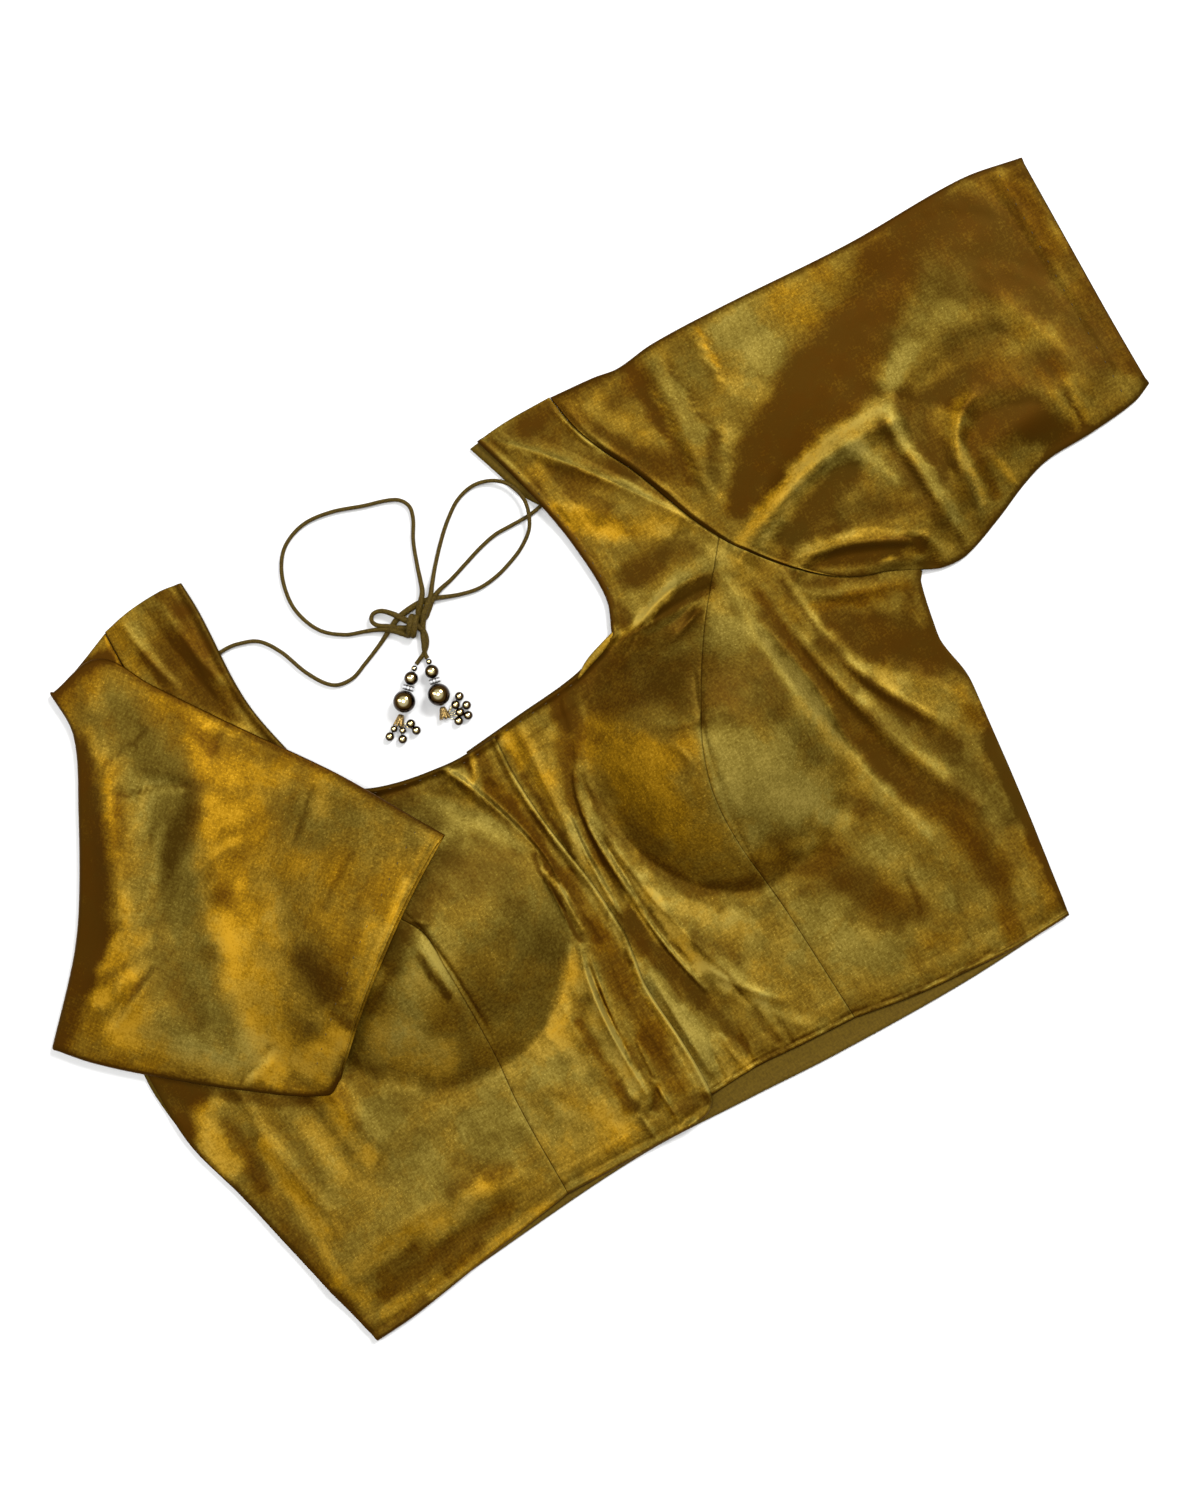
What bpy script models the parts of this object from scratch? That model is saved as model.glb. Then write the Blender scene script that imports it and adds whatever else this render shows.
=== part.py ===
"""A choli blouse with padded cups, laid flat with its front up and one sleeve folded over the front.

The cloth pieces are walls of one thickness. They are drawn in plan on the garment's own axes in
millimetres: x to the right, y towards the neck, with zero at the middle of the hem. Each wall then
takes its height from one height field, so that neighbouring pieces meet along their seams.
Left and right are the wearer's.
"""

import math

import bmesh
import bpy
from mathutils import Vector

MM = 0.001

# Cloth
CLOTH = 1.2
SEAM_GAP = 0.3
LAYER = CLOTH + SEAM_GAP
PANEL_GRID = 14.0
OUTLINE_STEP = 12.0

# Cups: height of the padded dome, and how far the folded sleeve drapes past and above it
CUP_HEIGHT = 28.0
CUP_FLATNESS = 2.4
CUP_FALL = 1.6
DRAPE_SPREAD = 1.32
DRAPE_LIFT = 2.0

# Centre-front lap
LAP_EDGE_X = 5.0
UNDERLAP_EDGE_X = -12.0
LAP_LIFT = LAYER + 1.2
LAP_RUN = 34.0

# Sleeves
CUFF_WIDTH = 136.0
LEFT_SLEEVE_LENGTH = 235.0
FOLDED_PART_LENGTH = 44.0
SLEEVE_STEPS = 13
SLEEVE_LANES = 11
SLEEVE_PUFF = 7.0
FOLDED_PUFF = 5.0
EDGE_ROLL = 1.5
FOLD_TURN_STEPS = 6
FOLD_OUTWARD = Vector((-0.81, 0.586))

# Dori cords
CORD_DIAMETER = 2.4
CORD_RADIUS = CORD_DIAMETER / 2
CORD_STEP = 7.5
KNOT_CENTRE = Vector((-2.0, 312.5))
KNOT_HALF = Vector((18.0, 9.5, 3.4))
KNOT_TURN = math.radians(-10.0)

# Beads
SEED_RADIUS = 1.5
BEAD_RADIUS = 3.6
RONDELLE_RADIUS = 3.1
RONDELLE_HALF = 1.3
LARGE_BEAD_RADIUS = 5.8
CONE_LENGTH = 6.0
CONE_RADII = (1.2, 2.6)
DROP_RADIUS = 2.0

# Seam and edge lines in plan, each an open line of (x, y)
SIDE_LEFT = [(210, 0), (221, 64), (229, 120), (228, 155), (240, 196)]
SIDE_RIGHT = [(-211, 0), (-222.6, 54), (-232, 101), (-241, 140), (-240, 192)]
ARMHOLE_LEFT_LOW = [(240, 196), (218.5, 206), (203, 211), (182.5, 228), (165, 250), (158, 262)]
ARMHOLE_LEFT_HIGH = [(158, 262), (150, 280), (138, 315), (130, 332), (124, 349), (121, 370)]
ARMHOLE_RIGHT_LOW = [(-240, 192), (-220, 203), (-205, 211), (-184, 231), (-168, 252), (-161, 265)]
ARMHOLE_RIGHT_HIGH = [(-161, 265), (-155, 285), (-150, 305), (-146, 325), (-142, 345), (-139, 387)]
PRINCESS_LEFT = [(158, 262), (123, 221.5), (98.6, 186), (86, 156), (83, 126), (86, 84), (87.4, 12.8)]
PRINCESS_RIGHT = [(-161, 265), (-118, 222), (-79, 174), (-77, 146), (-80, 105), (-85, 65.5), (-87, 13)]
SHOULDER_LEFT = [(121, 370), (96, 371), (77, 370)]
SHOULDER_RIGHT = [(-139, 387), (-121, 390), (-103, 390), (-92, 388)]
NECK_LEFT_SIDE = [(77, 370), (82.6, 349), (88, 323.5), (91.5, 297), (91.5, 266), (84, 248)]
NECK_LEFT_FRONT = [(84, 248), (57, 240.6), (19.5, 238), (UNDERLAP_EDGE_X, 236)]
NECK_RIGHT_SIDE = [(-92, 388), (-92, 370), (-95.4, 320), (-90.6, 286.5), (-84, 262)]
NECK_RIGHT_FRONT = [(-84, 262), (-64, 246), (-25, 236), (LAP_EDGE_X, 235)]
UNDERLAP_EDGE = [(UNDERLAP_EDGE_X, 236), (UNDERLAP_EDGE_X, 17)]
LAP_EDGE = [(LAP_EDGE_X, 235), (LAP_EDGE_X, 26)]
LAP_CORNER = [(LAP_EDGE_X, 26), (3, 16), (-4, 11), (-14, 9.8)]
HEM_LEFT_CENTRE = [(UNDERLAP_EDGE_X, 17), (28, 18), (54, 15.7), (87.4, 12.8)]
HEM_LEFT_SIDE = [(87.4, 12.8), (124, 5.7), (156, 2.2), (210, 0)]
HEM_RIGHT_CENTRE = [(-14, 9.8), (-46, 11), (-87, 13)]
HEM_RIGHT_SIDE = [(-87, 13), (-138.6, 7), (-187.5, 1), (-211, 0)]
BACK_HEM = [(-211, 0), (-138, 6), (-45, 10), (20.6, 5.6), (69, 1.6), (145, -1.5), (210, 0)]
BACK_NECK = [
    (-97, 388), (-99, 350), (-102, 318), (-97, 280), (-88, 252), (-60, 236), (-20, 228),
    (30, 229), (70, 236), (92, 246), (98, 266), (97, 297), (90, 320), (82, 335), (78, 349), (72, 369),
]
BACK_SHOULDER_LEFT = [(121, 370), (96, 371), (72, 369)]
BACK_SHOULDER_RIGHT = [(-97, 388), (-121, 390), (-139, 387)]

# Sleeve edges in plan: the spread sleeve, then the folded one before and after its fold
LEFT_TOP = [(121, 370), (146, 367), (181, 366), (223, 363.5), (294, 357), (362, 355), (395, 348)]
LEFT_UNDER = [(240, 196), (264, 187), (286, 194), (309, 203), (351.5, 207), (390, 213)]
LEFT_CUFF = [(390, 213), (391, 253), (392.6, 292), (395, 348)]
FOLD_LINE = [(-276, 217), (-242, 251), (-225, 273), (-200, 314), (-181, 350), (-180, 376)]
BEFORE_TOP = [(-139, 387), (-164.5, 379), (-180, 376)]
BEFORE_UNDER = [(-240, 192), (-258, 204), (-276, 217)]
AFTER_TOP = [(-180, 376), (-149, 377), (-132.5, 351), (-109, 314), (-74, 260.5), (-42, 205)]
AFTER_UNDER = [(-276, 217), (-242.5, 182), (-202, 147), (-166, 122), (-155, 126)]
AFTER_CUFF = [(-155, 126), (-124, 151), (-92, 174), (-66, 191), (-42, 205)]

# Padded cups: centre, half width, half length, and how far the highest point leans up from the centre
CUPS = {
    "left": {"centre": (99, 169), "half": (65, 76), "lean": 12},
    "right": {"centre": (-81, 164), "half": (75, 77), "lean": 8},
}

# Largest folds: a soft ridge (or trough, where the height is below zero) from start through bend to end
FOLDS = [
    # start x, y, bend x, y, end x, y, half width, height
    (46, 232, 30, 168, 32, 60, 13, -4.0),
    (27, 215, 20, 160, 22, 110, 12, 5.5),
    (-22, 226, -8, 188, -10, 120, 12, -3.0),
    (150, 262, 190, 262, 236, 206, 14, 6.0),
    (124, 360, 140, 318, 152, 288, 12, 5.0),
    (104, 362, 116, 330, 142, 296, 11, 4.0),
    (172, 262, 240, 292, 330, 322, 26, 9.0),
    (196, 232, 250, 250, 330, 262, 22, 8.0),
    (268, 204, 292, 236, 300, 262, 14, 6.0),
    (338, 222, 352, 262, 372, 300, 20, 5.0),
    (228, 120, 200, 96, 150, 60, 22, 4.0),
    (-226, 60, -186, 66, -140, 48, 24, 4.0),
]

# Dori routes: x, y and how far the cord is lifted over what it crosses
LEFT_LEAD = [(-93.4, 346.6, 0), (-84, 346, 0), (-74, 341.5, 0), (-67, 331, 0), (-61, 314, 0),
             (-53, 302, 0), (-43, 299.5, 0), (-33, 303.5, 0), (-20, 308.5, 0), (-14, 311, 0)]
LEFT_LOOP = [(-10, 314, 0), (-22, 317.5, 0), (-34, 321, 0), (-44, 330, 0), (-49, 344, 0), (-48, 357, 0),
             (-43, 369, 0), (-35, 377, 0), (-22, 381, 0), (-7, 379, 0), (9, 373, 0), (23, 368, 0),
             (29, 362, 0), (28, 354, 0), (22, 342, 0), (17, 329, 0), (12, 314, 0)]
RIGHT_LOOP = [(8, 312, 0), (18, 318.5, 0), (25, 327, 0), (35, 337, 0), (44, 344.5, 0), (53, 350, 0),
              (63, 352, 0), (72, 349.5, 1.0), (78.5, 344, 1.9), (81.5, 337, 2.4), (82, 330.5, 3.0),
              (80, 323.5, 3.4), (76, 317, 2.0), (68, 311.5, 0.4), (59, 308, 0), (49, 305.5, 0),
              (38, 305, 0), (28, 306.5, 0), (12, 309.5, 0)]
RIGHT_LEAD = [(84.4, 324, 0), (78, 323.6, 0), (69, 324, 0), (60, 324.3, 0), (50, 322.6, 0),
              (40, 319.8, 0), (28, 316, 0), (14, 312.6, 0)]
LEFT_TAIL = [(-3, 306, 0), (-2.6, 301, 0), (-4, 296, 0), (-7.2, 291.6, 0), (-10.6, 288.7, 0)]
RIGHT_TAIL = [(3, 306, 0), (3.4, 301, 0), (2.4, 296, 0), (-1.2, 291.6, 0), (-3.3, 288.4, 0)]

# Tassels: where the stringing starts, its direction, and the drop beads (along, across) from the cone
TASSELS = {
    "left": {
        "start": (-11.0, 288.3),
        "direction": (-0.733, -0.68),
        "drops": [(1.0, 6.0), (3.6, 9.7), (5.6, 2.9), (6.0, -1.7), (10.4, -2.7), (9.9, 4.1)],
    },
    "right": {
        "start": (-3.6, 287.8),
        "direction": (-0.24, -0.97),
        "drops": [(-5.2, 9.6), (-1.6, 6.4), (0.3, 11.8), (2.8, 7.4), (6.9, 5.4), (5.6, 11.0)],
    },
}

COLOURS = {
    "gold_tissue": ((0.46, 0.30, 0.055, 1), 0.42, 0.45),
    "olive_inside": ((0.24, 0.17, 0.045, 1), 0.6, 0.2),
    "dori": ((0.17, 0.12, 0.045, 1), 0.7, 0.0),
    "gold_bead": ((0.62, 0.42, 0.14, 1), 0.15, 1.0),
    "rhinestone": ((0.82, 0.82, 0.80, 1), 0.1, 0.9),
    "filigree": ((0.78, 0.66, 0.44, 1), 0.35, 0.9),
}


def material(name):
    """The named finish as a Principled material."""
    found = bpy.data.materials.get(name)
    if found:
        return found
    colour, roughness, metallic = COLOURS[name]
    made = bpy.data.materials.new(name)
    made.use_nodes = True
    shader = made.node_tree.nodes["Principled BSDF"]
    shader.inputs["Base Color"].default_value = colour
    shader.inputs["Roughness"].default_value = roughness
    shader.inputs["Metallic"].default_value = metallic
    return made


def add_object(name, bm, finish, smooth=True):
    """Puts a finished bmesh, drawn in millimetres, into the scene in metres."""
    bmesh.ops.recalc_face_normals(bm, faces=bm.faces)
    bmesh.ops.scale(bm, vec=(MM, MM, MM), verts=bm.verts)
    mesh = bpy.data.meshes.new(name)
    bm.to_mesh(mesh)
    bm.free()
    if smooth:
        mesh.shade_smooth()
        mesh.set_sharp_from_angle(angle=math.radians(40))
    mesh.materials.append(material(finish))
    made = bpy.data.objects.new(name, mesh)
    bpy.context.scene.collection.objects.link(made)
    return made


def smooth_line(points, step):
    """Points every step or so along a smooth curve through the given points."""
    points = [Vector(p) for p in points]
    ends = [2 * points[0] - points[1], *points, 2 * points[-1] - points[-2]]
    line = [points[0]]
    for before, a, b, after in zip(ends, ends[1:], ends[2:], ends[3:]):
        count = max(1, round((b - a).length / step))
        reach = (b - a).length
        pull_a = (b - before) * (reach / max((b - before).length, 1e-9))
        pull_b = (after - a) * (reach / max((after - a).length, 1e-9))
        for i in range(1, count + 1):
            t = i / count
            line.append(
                a * (2 * t**3 - 3 * t**2 + 1)
                + pull_a * (t**3 - 2 * t**2 + t)
                + b * (3 * t**2 - 2 * t**3)
                + pull_b * (t**3 - t**2)
            )
    return line


def along(line, share):
    """The point at that share, 0 to 1, of a line's length."""
    lengths = [(b - a).length for a, b in zip(line, line[1:])]
    left = share * sum(lengths)
    for a, b, length in zip(line, line[1:], lengths):
        if left <= length:
            return a.lerp(b, left / length)
        left -= length
    return line[-1].copy()


def inset(outline, distance):
    """A closed anticlockwise outline moved inwards by distance."""
    moved = []
    for before, here, after in zip([outline[-1], *outline], outline, [*outline[1:], outline[0]]):
        a = (here - before).normalized()
        b = (after - here).normalized()
        inward = Vector((-a.y - b.y, a.x + b.x))
        cosine = max(0.5, inward.length / 2)
        moved.append(here + inward.normalized() * (distance / cosine))
    return moved


def closed_outline(*edges):
    """Joins edge lines into one closed anticlockwise outline, drawn in by half the seam gap."""
    outline = []
    for edge in edges:
        outline += smooth_line(edge, OUTLINE_STEP)[:-1]
    area = sum(a.x * b.y - b.x * a.y for a, b in zip(outline, [*outline[1:], outline[0]]))
    if area < 0:
        outline.reverse()
    return inset(outline, SEAM_GAP / 2)


def backwards(edge):
    return list(reversed(edge))


def soft_step(value):
    value = min(1.0, max(0.0, value))
    return value * value * (3 - 2 * value)


def cup_share(x, y, cup, spread=1.0):
    """0 outside a cup's rim and 1 at its highest point."""
    off = Vector((x - cup["centre"][0], y - cup["centre"][1]))
    half = Vector(cup["half"]) * spread
    first = min(1.0, math.hypot(off.x / half.x, off.y / half.y))
    off.y -= cup["lean"] * (1 - first)
    reach = min(1.0, math.hypot(off.x / half.x, off.y / half.y))
    return (1 - reach**CUP_FLATNESS) ** CUP_FALL


def bend_points(fold, count=9):
    """Points along a fold's curve, each with its share of the way along."""
    x0, y0, x1, y1, x2, y2 = fold[:6]
    for i in range(count):
        t = i / (count - 1)
        yield (
            (1 - t) ** 2 * x0 + 2 * t * (1 - t) * x1 + t * t * x2,
            (1 - t) ** 2 * y0 + 2 * t * (1 - t) * y1 + t * t * y2,
            t,
        )


def fold_height(x, y):
    """The sum of all folds' heights at a point, each fading to nothing at its two ends."""
    total = 0.0
    for fold in FOLDS:
        width, height = fold[6:]
        nearest, share = min((math.hypot(x - px, y - py), t) for px, py, t in bend_points(fold))
        fade = math.sin(math.pi * min(1.0, 0.12 + 0.88 * share))
        total += height * fade * math.exp(-((nearest / width) ** 2))
    return total


def front_height(x, y):
    """Underside of the front cloth: on the back panel, domed over the cups, with the largest folds."""
    domes = sum(CUP_HEIGHT * cup_share(x, y, cup) for cup in CUPS.values())
    return LAYER + max(0.0, domes + fold_height(x, y))


def lap_height(x, y):
    """The same for the upper centre-front edge, which lies on the underlap."""
    return front_height(x, y) + LAP_LIFT * soft_step((x - UNDERLAP_EDGE_X + LAP_RUN) / LAP_RUN)


def drape_height(x, y):
    """Underside of the folded sleeve: on the front panels, draping a little wide over the cup."""
    share = cup_share(x, y, CUPS["right"], DRAPE_SPREAD)
    return LAYER * 2 + (CUP_HEIGHT + DRAPE_LIFT) * share


def panel(name, edges, height, finish="gold_tissue", grid=PANEL_GRID):
    """A cloth wall cut to an outline and laid on a height field."""
    outline = closed_outline(*edges)
    bm = bmesh.new()
    bm.faces.new([bm.verts.new((p.x, p.y, 0)) for p in outline])
    for axis in (0, 1):
        low = min(p[axis] for p in outline)
        high = max(p[axis] for p in outline)
        for cut in range(math.ceil(low / grid), math.floor(high / grid) + 1):
            place = Vector((0, 0, 0))
            normal = Vector((0, 0, 0))
            place[axis] = cut * grid
            normal[axis] = 1
            geometry = bm.verts[:] + bm.edges[:] + bm.faces[:]
            bmesh.ops.bisect_plane(bm, geom=geometry, plane_co=place, plane_no=normal, dist=0.02)
    bmesh.ops.triangulate(bm, faces=bm.faces)
    for vertex in bm.verts:
        vertex.co.z = height(vertex.co.x, vertex.co.y)
    top = bmesh.ops.extrude_face_region(bm, geom=bm.faces[:])["geom"]
    raised = [part for part in top if isinstance(part, bmesh.types.BMVert)]
    bmesh.ops.translate(bm, verts=raised, vec=(0, 0, CLOTH))
    return add_object(name, bm, finish)


def between(start, end, under, top, u, v):
    """A point of the patch bounded by four lines: u runs from start to end, v from under to top."""
    a, b = along(start, v), along(end, v)
    c, d = along(under, u), along(top, u)
    corners = (
        (1 - u) * (1 - v) * start[0]
        + u * (1 - v) * end[0]
        + (1 - u) * v * start[-1]
        + u * v * end[-1]
    )
    return a * (1 - u) + b * u + c * (1 - v) + d * v - corners


def lanes(width):
    """Shares across a sleeve from underarm to top, closer at the rolled edges."""
    edge = EDGE_ROLL / width
    middle = [edge + (1 - 2 * edge) * i / SLEEVE_LANES for i in range(SLEEVE_LANES + 1)]
    return [0.0, *middle, 1.0]


def wall_rings(width):
    """The outer and inner ring of a flattened tube, as (share across, height in the stack)."""
    outer, inner = [], []
    shares = lanes(width)
    edge = EDGE_ROLL / width
    middle = CLOTH + SEAM_GAP / 2
    outer.append((0.0, middle))
    inner.append((edge, middle))
    for share in shares[1:-1]:
        drawn_in = min(max(share, 1.5 * edge), 1 - 1.5 * edge)
        outer.append((share, 0.0))
        inner.append((drawn_in, CLOTH))
    outer.append((1.0, middle))
    inner.append((1 - edge, middle))
    for share in reversed(shares[1:-1]):
        drawn_in = min(max(share, 1.5 * edge), 1 - 1.5 * edge)
        outer.append((share, 2 * CLOTH + SEAM_GAP))
        inner.append((drawn_in, LAYER))
    return outer, inner


def tube(name, stations, width):
    """A flattened cloth tube, open at both ends. A station turns a (share, height) into a point."""
    bm = bmesh.new()
    outer, inner = wall_rings(width)
    count = len(outer)
    rows = []
    for place in stations:
        both = [bm.verts.new(place(share, high)) for share, high in outer + inner]
        rows.append((both[:count], both[count:]))
    for (outer_a, inner_a), (outer_b, inner_b) in zip(rows, rows[1:]):
        for i in range(count):
            j = (i + 1) % count
            bm.faces.new((outer_a[i], outer_a[j], outer_b[j], outer_b[i]))
            bm.faces.new((inner_a[j], inner_a[i], inner_b[i], inner_b[j]))
    for outer_ring, inner_ring in (rows[0], rows[-1]):
        for i in range(count):
            j = (i + 1) % count
            bm.faces.new((outer_ring[i], outer_ring[j], inner_ring[j], inner_ring[i]))
    bmesh.ops.recalc_face_normals(bm, faces=bm.faces)
    bmesh.ops.triangulate(bm, faces=bm.faces)
    return add_object(name, bm, "gold_tissue")


def sleeve_left():
    """The spread sleeve: its lower layer is flat on the surface and its upper layer is puffed."""
    start = smooth_line(ARMHOLE_LEFT_LOW + ARMHOLE_LEFT_HIGH[1:], OUTLINE_STEP)
    end = smooth_line(LEFT_CUFF, OUTLINE_STEP)
    under = smooth_line(LEFT_UNDER, OUTLINE_STEP)
    top = smooth_line(LEFT_TOP, OUTLINE_STEP)
    first = SEAM_GAP / LEFT_SLEEVE_LENGTH

    def station(u):
        def place(share, high):
            p = between(start, end, under, top, u, share)
            edge_fade = soft_step(min(share, 1 - share) / 0.22)
            puff = SLEEVE_PUFF * edge_fade * math.sin(math.pi * u)
            upper_share = min(1.0, max(0.0, (high - CLOTH) / SEAM_GAP))
            return (p.x, p.y, high + upper_share * (front_height(p.x, p.y) - LAYER + puff))

        return place

    stations = [station(first + (1 - first) * i / SLEEVE_STEPS) for i in range(SLEEVE_STEPS + 1)]
    return tube("sleeve_left", stations, CUFF_WIDTH)


def sleeve_right():
    """The folded sleeve: out from the armhole, round its fold, and back over the front to the cuff."""
    stack = 2 * CLOTH + SEAM_GAP
    axis_height = stack + SEAM_GAP / 2
    armhole = smooth_line(ARMHOLE_RIGHT_LOW + ARMHOLE_RIGHT_HIGH[1:], OUTLINE_STEP)
    visible_fold = smooth_line(FOLD_LINE, OUTLINE_STEP)
    fold = [p - FOLD_OUTWARD * axis_height for p in visible_fold]
    shift = -FOLD_OUTWARD * axis_height
    before_top = [p + shift * (i / 2) for i, p in enumerate(map(Vector, BEFORE_TOP))]
    before_under = [p + shift * (i / 2) for i, p in enumerate(map(Vector, BEFORE_UNDER))]
    before_top = smooth_line(before_top, OUTLINE_STEP)
    before_under = smooth_line(before_under, OUTLINE_STEP)
    after_top = smooth_line([fold[-1], *map(Vector, AFTER_TOP[1:])], OUTLINE_STEP)
    after_under = smooth_line([fold[0], *map(Vector, AFTER_UNDER[1:])], OUTLINE_STEP)
    cuff = smooth_line(AFTER_CUFF, OUTLINE_STEP)
    first = 1.4 * SEAM_GAP / FOLDED_PART_LENGTH

    def before(u):
        def place(share, high):
            p = between(armhole, fold, before_under, before_top, u, share)
            return (p.x, p.y, high)

        return place

    def turning(angle):
        def place(share, high):
            p = along(fold, share) + FOLD_OUTWARD * (axis_height - high) * math.cos(angle)
            return (p.x, p.y, axis_height + (axis_height - high) * math.sin(angle))

        return place

    def after(u):
        def place(share, high):
            p = between(fold, cuff, after_under, after_top, u, share)
            edge_fade = soft_step(min(share, 1 - share) / 0.25)
            puff = FOLDED_PUFF * edge_fade * math.sin(math.pi * u) if high <= CLOTH else 0.0
            return (p.x, p.y, drape_height(p.x, p.y) + stack - high + puff)

        return place

    turns = [-math.pi / 2 + math.pi * i / FOLD_TURN_STEPS for i in range(FOLD_TURN_STEPS + 1)]
    stations = [before(u) for u in (first, 0.5)]
    stations += [turning(angle) for angle in turns]
    stations += [after(i / SLEEVE_STEPS) for i in range(1, SLEEVE_STEPS + 1)]
    return tube("sleeve_right", stations, CUFF_WIDTH)


def clear_of_knot(point):
    off = Vector((point.x, point.y)) - KNOT_CENTRE
    c, s = math.cos(-KNOT_TURN), math.sin(-KNOT_TURN)
    off = Vector((c * off.x - s * off.y, s * off.x + c * off.y))
    room = CORD_RADIUS + SEAM_GAP + 0.4
    return math.hypot(off.x / (KNOT_HALF.x + room), off.y / (KNOT_HALF.y + room)) >= 1


def cord(name, route):
    """A stretch of dori cord on the surface, up to the knot but not into it."""
    line = smooth_line([(x, y, CORD_RADIUS + lift) for x, y, lift in route], CORD_STEP / 6)
    line = [Vector((p.x, p.y, max(p.z, CORD_RADIUS))) for p in line if clear_of_knot(p)]
    length = sum((b - a).length for a, b in zip(line, line[1:]))
    count = max(2, round(length / CORD_STEP))
    points = [along(line, i / count) for i in range(count + 1)]
    curve = bpy.data.curves.new(name, "CURVE")
    curve.dimensions = "3D"
    curve.bevel_depth = CORD_RADIUS * MM
    curve.bevel_resolution = 2
    curve.use_fill_caps = True
    spline = curve.splines.new("POLY")
    spline.points.add(len(points) - 1)
    for target, p in zip(spline.points, points):
        target.co = (p.x * MM, p.y * MM, p.z * MM, 1)
    curve.materials.append(material("dori"))
    made = bpy.data.objects.new(name, curve)
    bpy.context.scene.collection.objects.link(made)
    return made


def knot():
    """The bow's knot, as one rounded lump."""
    bm = bmesh.new()
    bmesh.ops.create_uvsphere(bm, u_segments=16, v_segments=8, radius=1.0)
    bmesh.ops.scale(bm, vec=KNOT_HALF, verts=bm.verts)
    for vertex in bm.verts:
        x, y = vertex.co.x, vertex.co.y
        vertex.co.x = KNOT_CENTRE.x + x * math.cos(KNOT_TURN) - y * math.sin(KNOT_TURN)
        vertex.co.y = KNOT_CENTRE.y + x * math.sin(KNOT_TURN) + y * math.cos(KNOT_TURN)
        vertex.co.z += KNOT_HALF.z
    return add_object("dori_knot", bm, "dori")


def ball(name, centre, radius, finish, segments=12, rings=8):
    bm = bmesh.new()
    bmesh.ops.create_uvsphere(bm, u_segments=segments, v_segments=rings, radius=radius)
    bmesh.ops.translate(bm, verts=bm.verts, vec=(centre.x, centre.y, radius))
    return add_object(name, bm, finish)


def turned(name, centre, direction, height, radii, length, finish):
    """A short cone or disc whose axis lies along direction, parallel to the surface."""
    bm = bmesh.new()
    bmesh.ops.create_cone(
        bm, cap_ends=True, cap_tris=False, segments=14, radius1=radii[0], radius2=radii[1], depth=length
    )
    turn = Vector((0, 0, 1)).rotation_difference(Vector((direction.x, direction.y, 0))).to_matrix()
    bmesh.ops.rotate(bm, verts=bm.verts, cent=(0, 0, 0), matrix=turn)
    bmesh.ops.translate(bm, verts=bm.verts, vec=(centre.x, centre.y, height))
    return add_object(name, bm, finish)


def tassel(side):
    """The beads strung on one cord end, then the cone and its cluster of drops."""
    facts = TASSELS[side]
    direction = Vector(facts["direction"]).normalized()
    across = Vector((-direction.y, direction.x))
    at = Vector(facts["start"]) + direction * (SEED_RADIUS + SEAM_GAP)
    ball(f"tassel_{side}_seed", at, SEED_RADIUS, "gold_bead", 10, 6)
    at += direction * (SEED_RADIUS + SEAM_GAP + BEAD_RADIUS)
    ball(f"tassel_{side}_bead", at, BEAD_RADIUS, "gold_bead")
    at += direction * (BEAD_RADIUS + SEAM_GAP + RONDELLE_HALF)
    radii = (RONDELLE_RADIUS, RONDELLE_RADIUS)
    turned(f"tassel_{side}_rondelle", at, direction, RONDELLE_RADIUS + 1, radii, 2 * RONDELLE_HALF, "rhinestone")
    at += direction * (RONDELLE_HALF + SEAM_GAP + LARGE_BEAD_RADIUS)
    ball(f"tassel_{side}_large_bead", at, LARGE_BEAD_RADIUS, "gold_bead", 14, 10)
    at += direction * (LARGE_BEAD_RADIUS + SEAM_GAP + CONE_LENGTH / 2)
    turned(f"tassel_{side}_cone", at, direction, CONE_RADII[1], CONE_RADII, CONE_LENGTH, "filigree")
    for number, (forward, aside) in enumerate(facts["drops"], 1):
        centre = at + direction * forward + across * aside
        ball(f"tassel_{side}_drop_{number}", centre, DROP_RADIUS, "gold_bead", 8, 6)


def flat_height(x, y):
    """Underside of the back panel, which lies flat on the surface."""
    return 0.0


def centre_on_cloth():
    """Moves everything so that the origin is below the middle of the cloth's box."""
    cloth = [made for made in bpy.data.objects if made.name.startswith(("back", "front", "sleeve"))]
    corners = [vertex.co for made in cloth for vertex in made.data.vertices]
    middle = [(min(c[axis] for c in corners) + max(c[axis] for c in corners)) / 2 for axis in (0, 1)]
    for made in bpy.data.objects:
        made.location = (-middle[0], -middle[1], 0)


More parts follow.
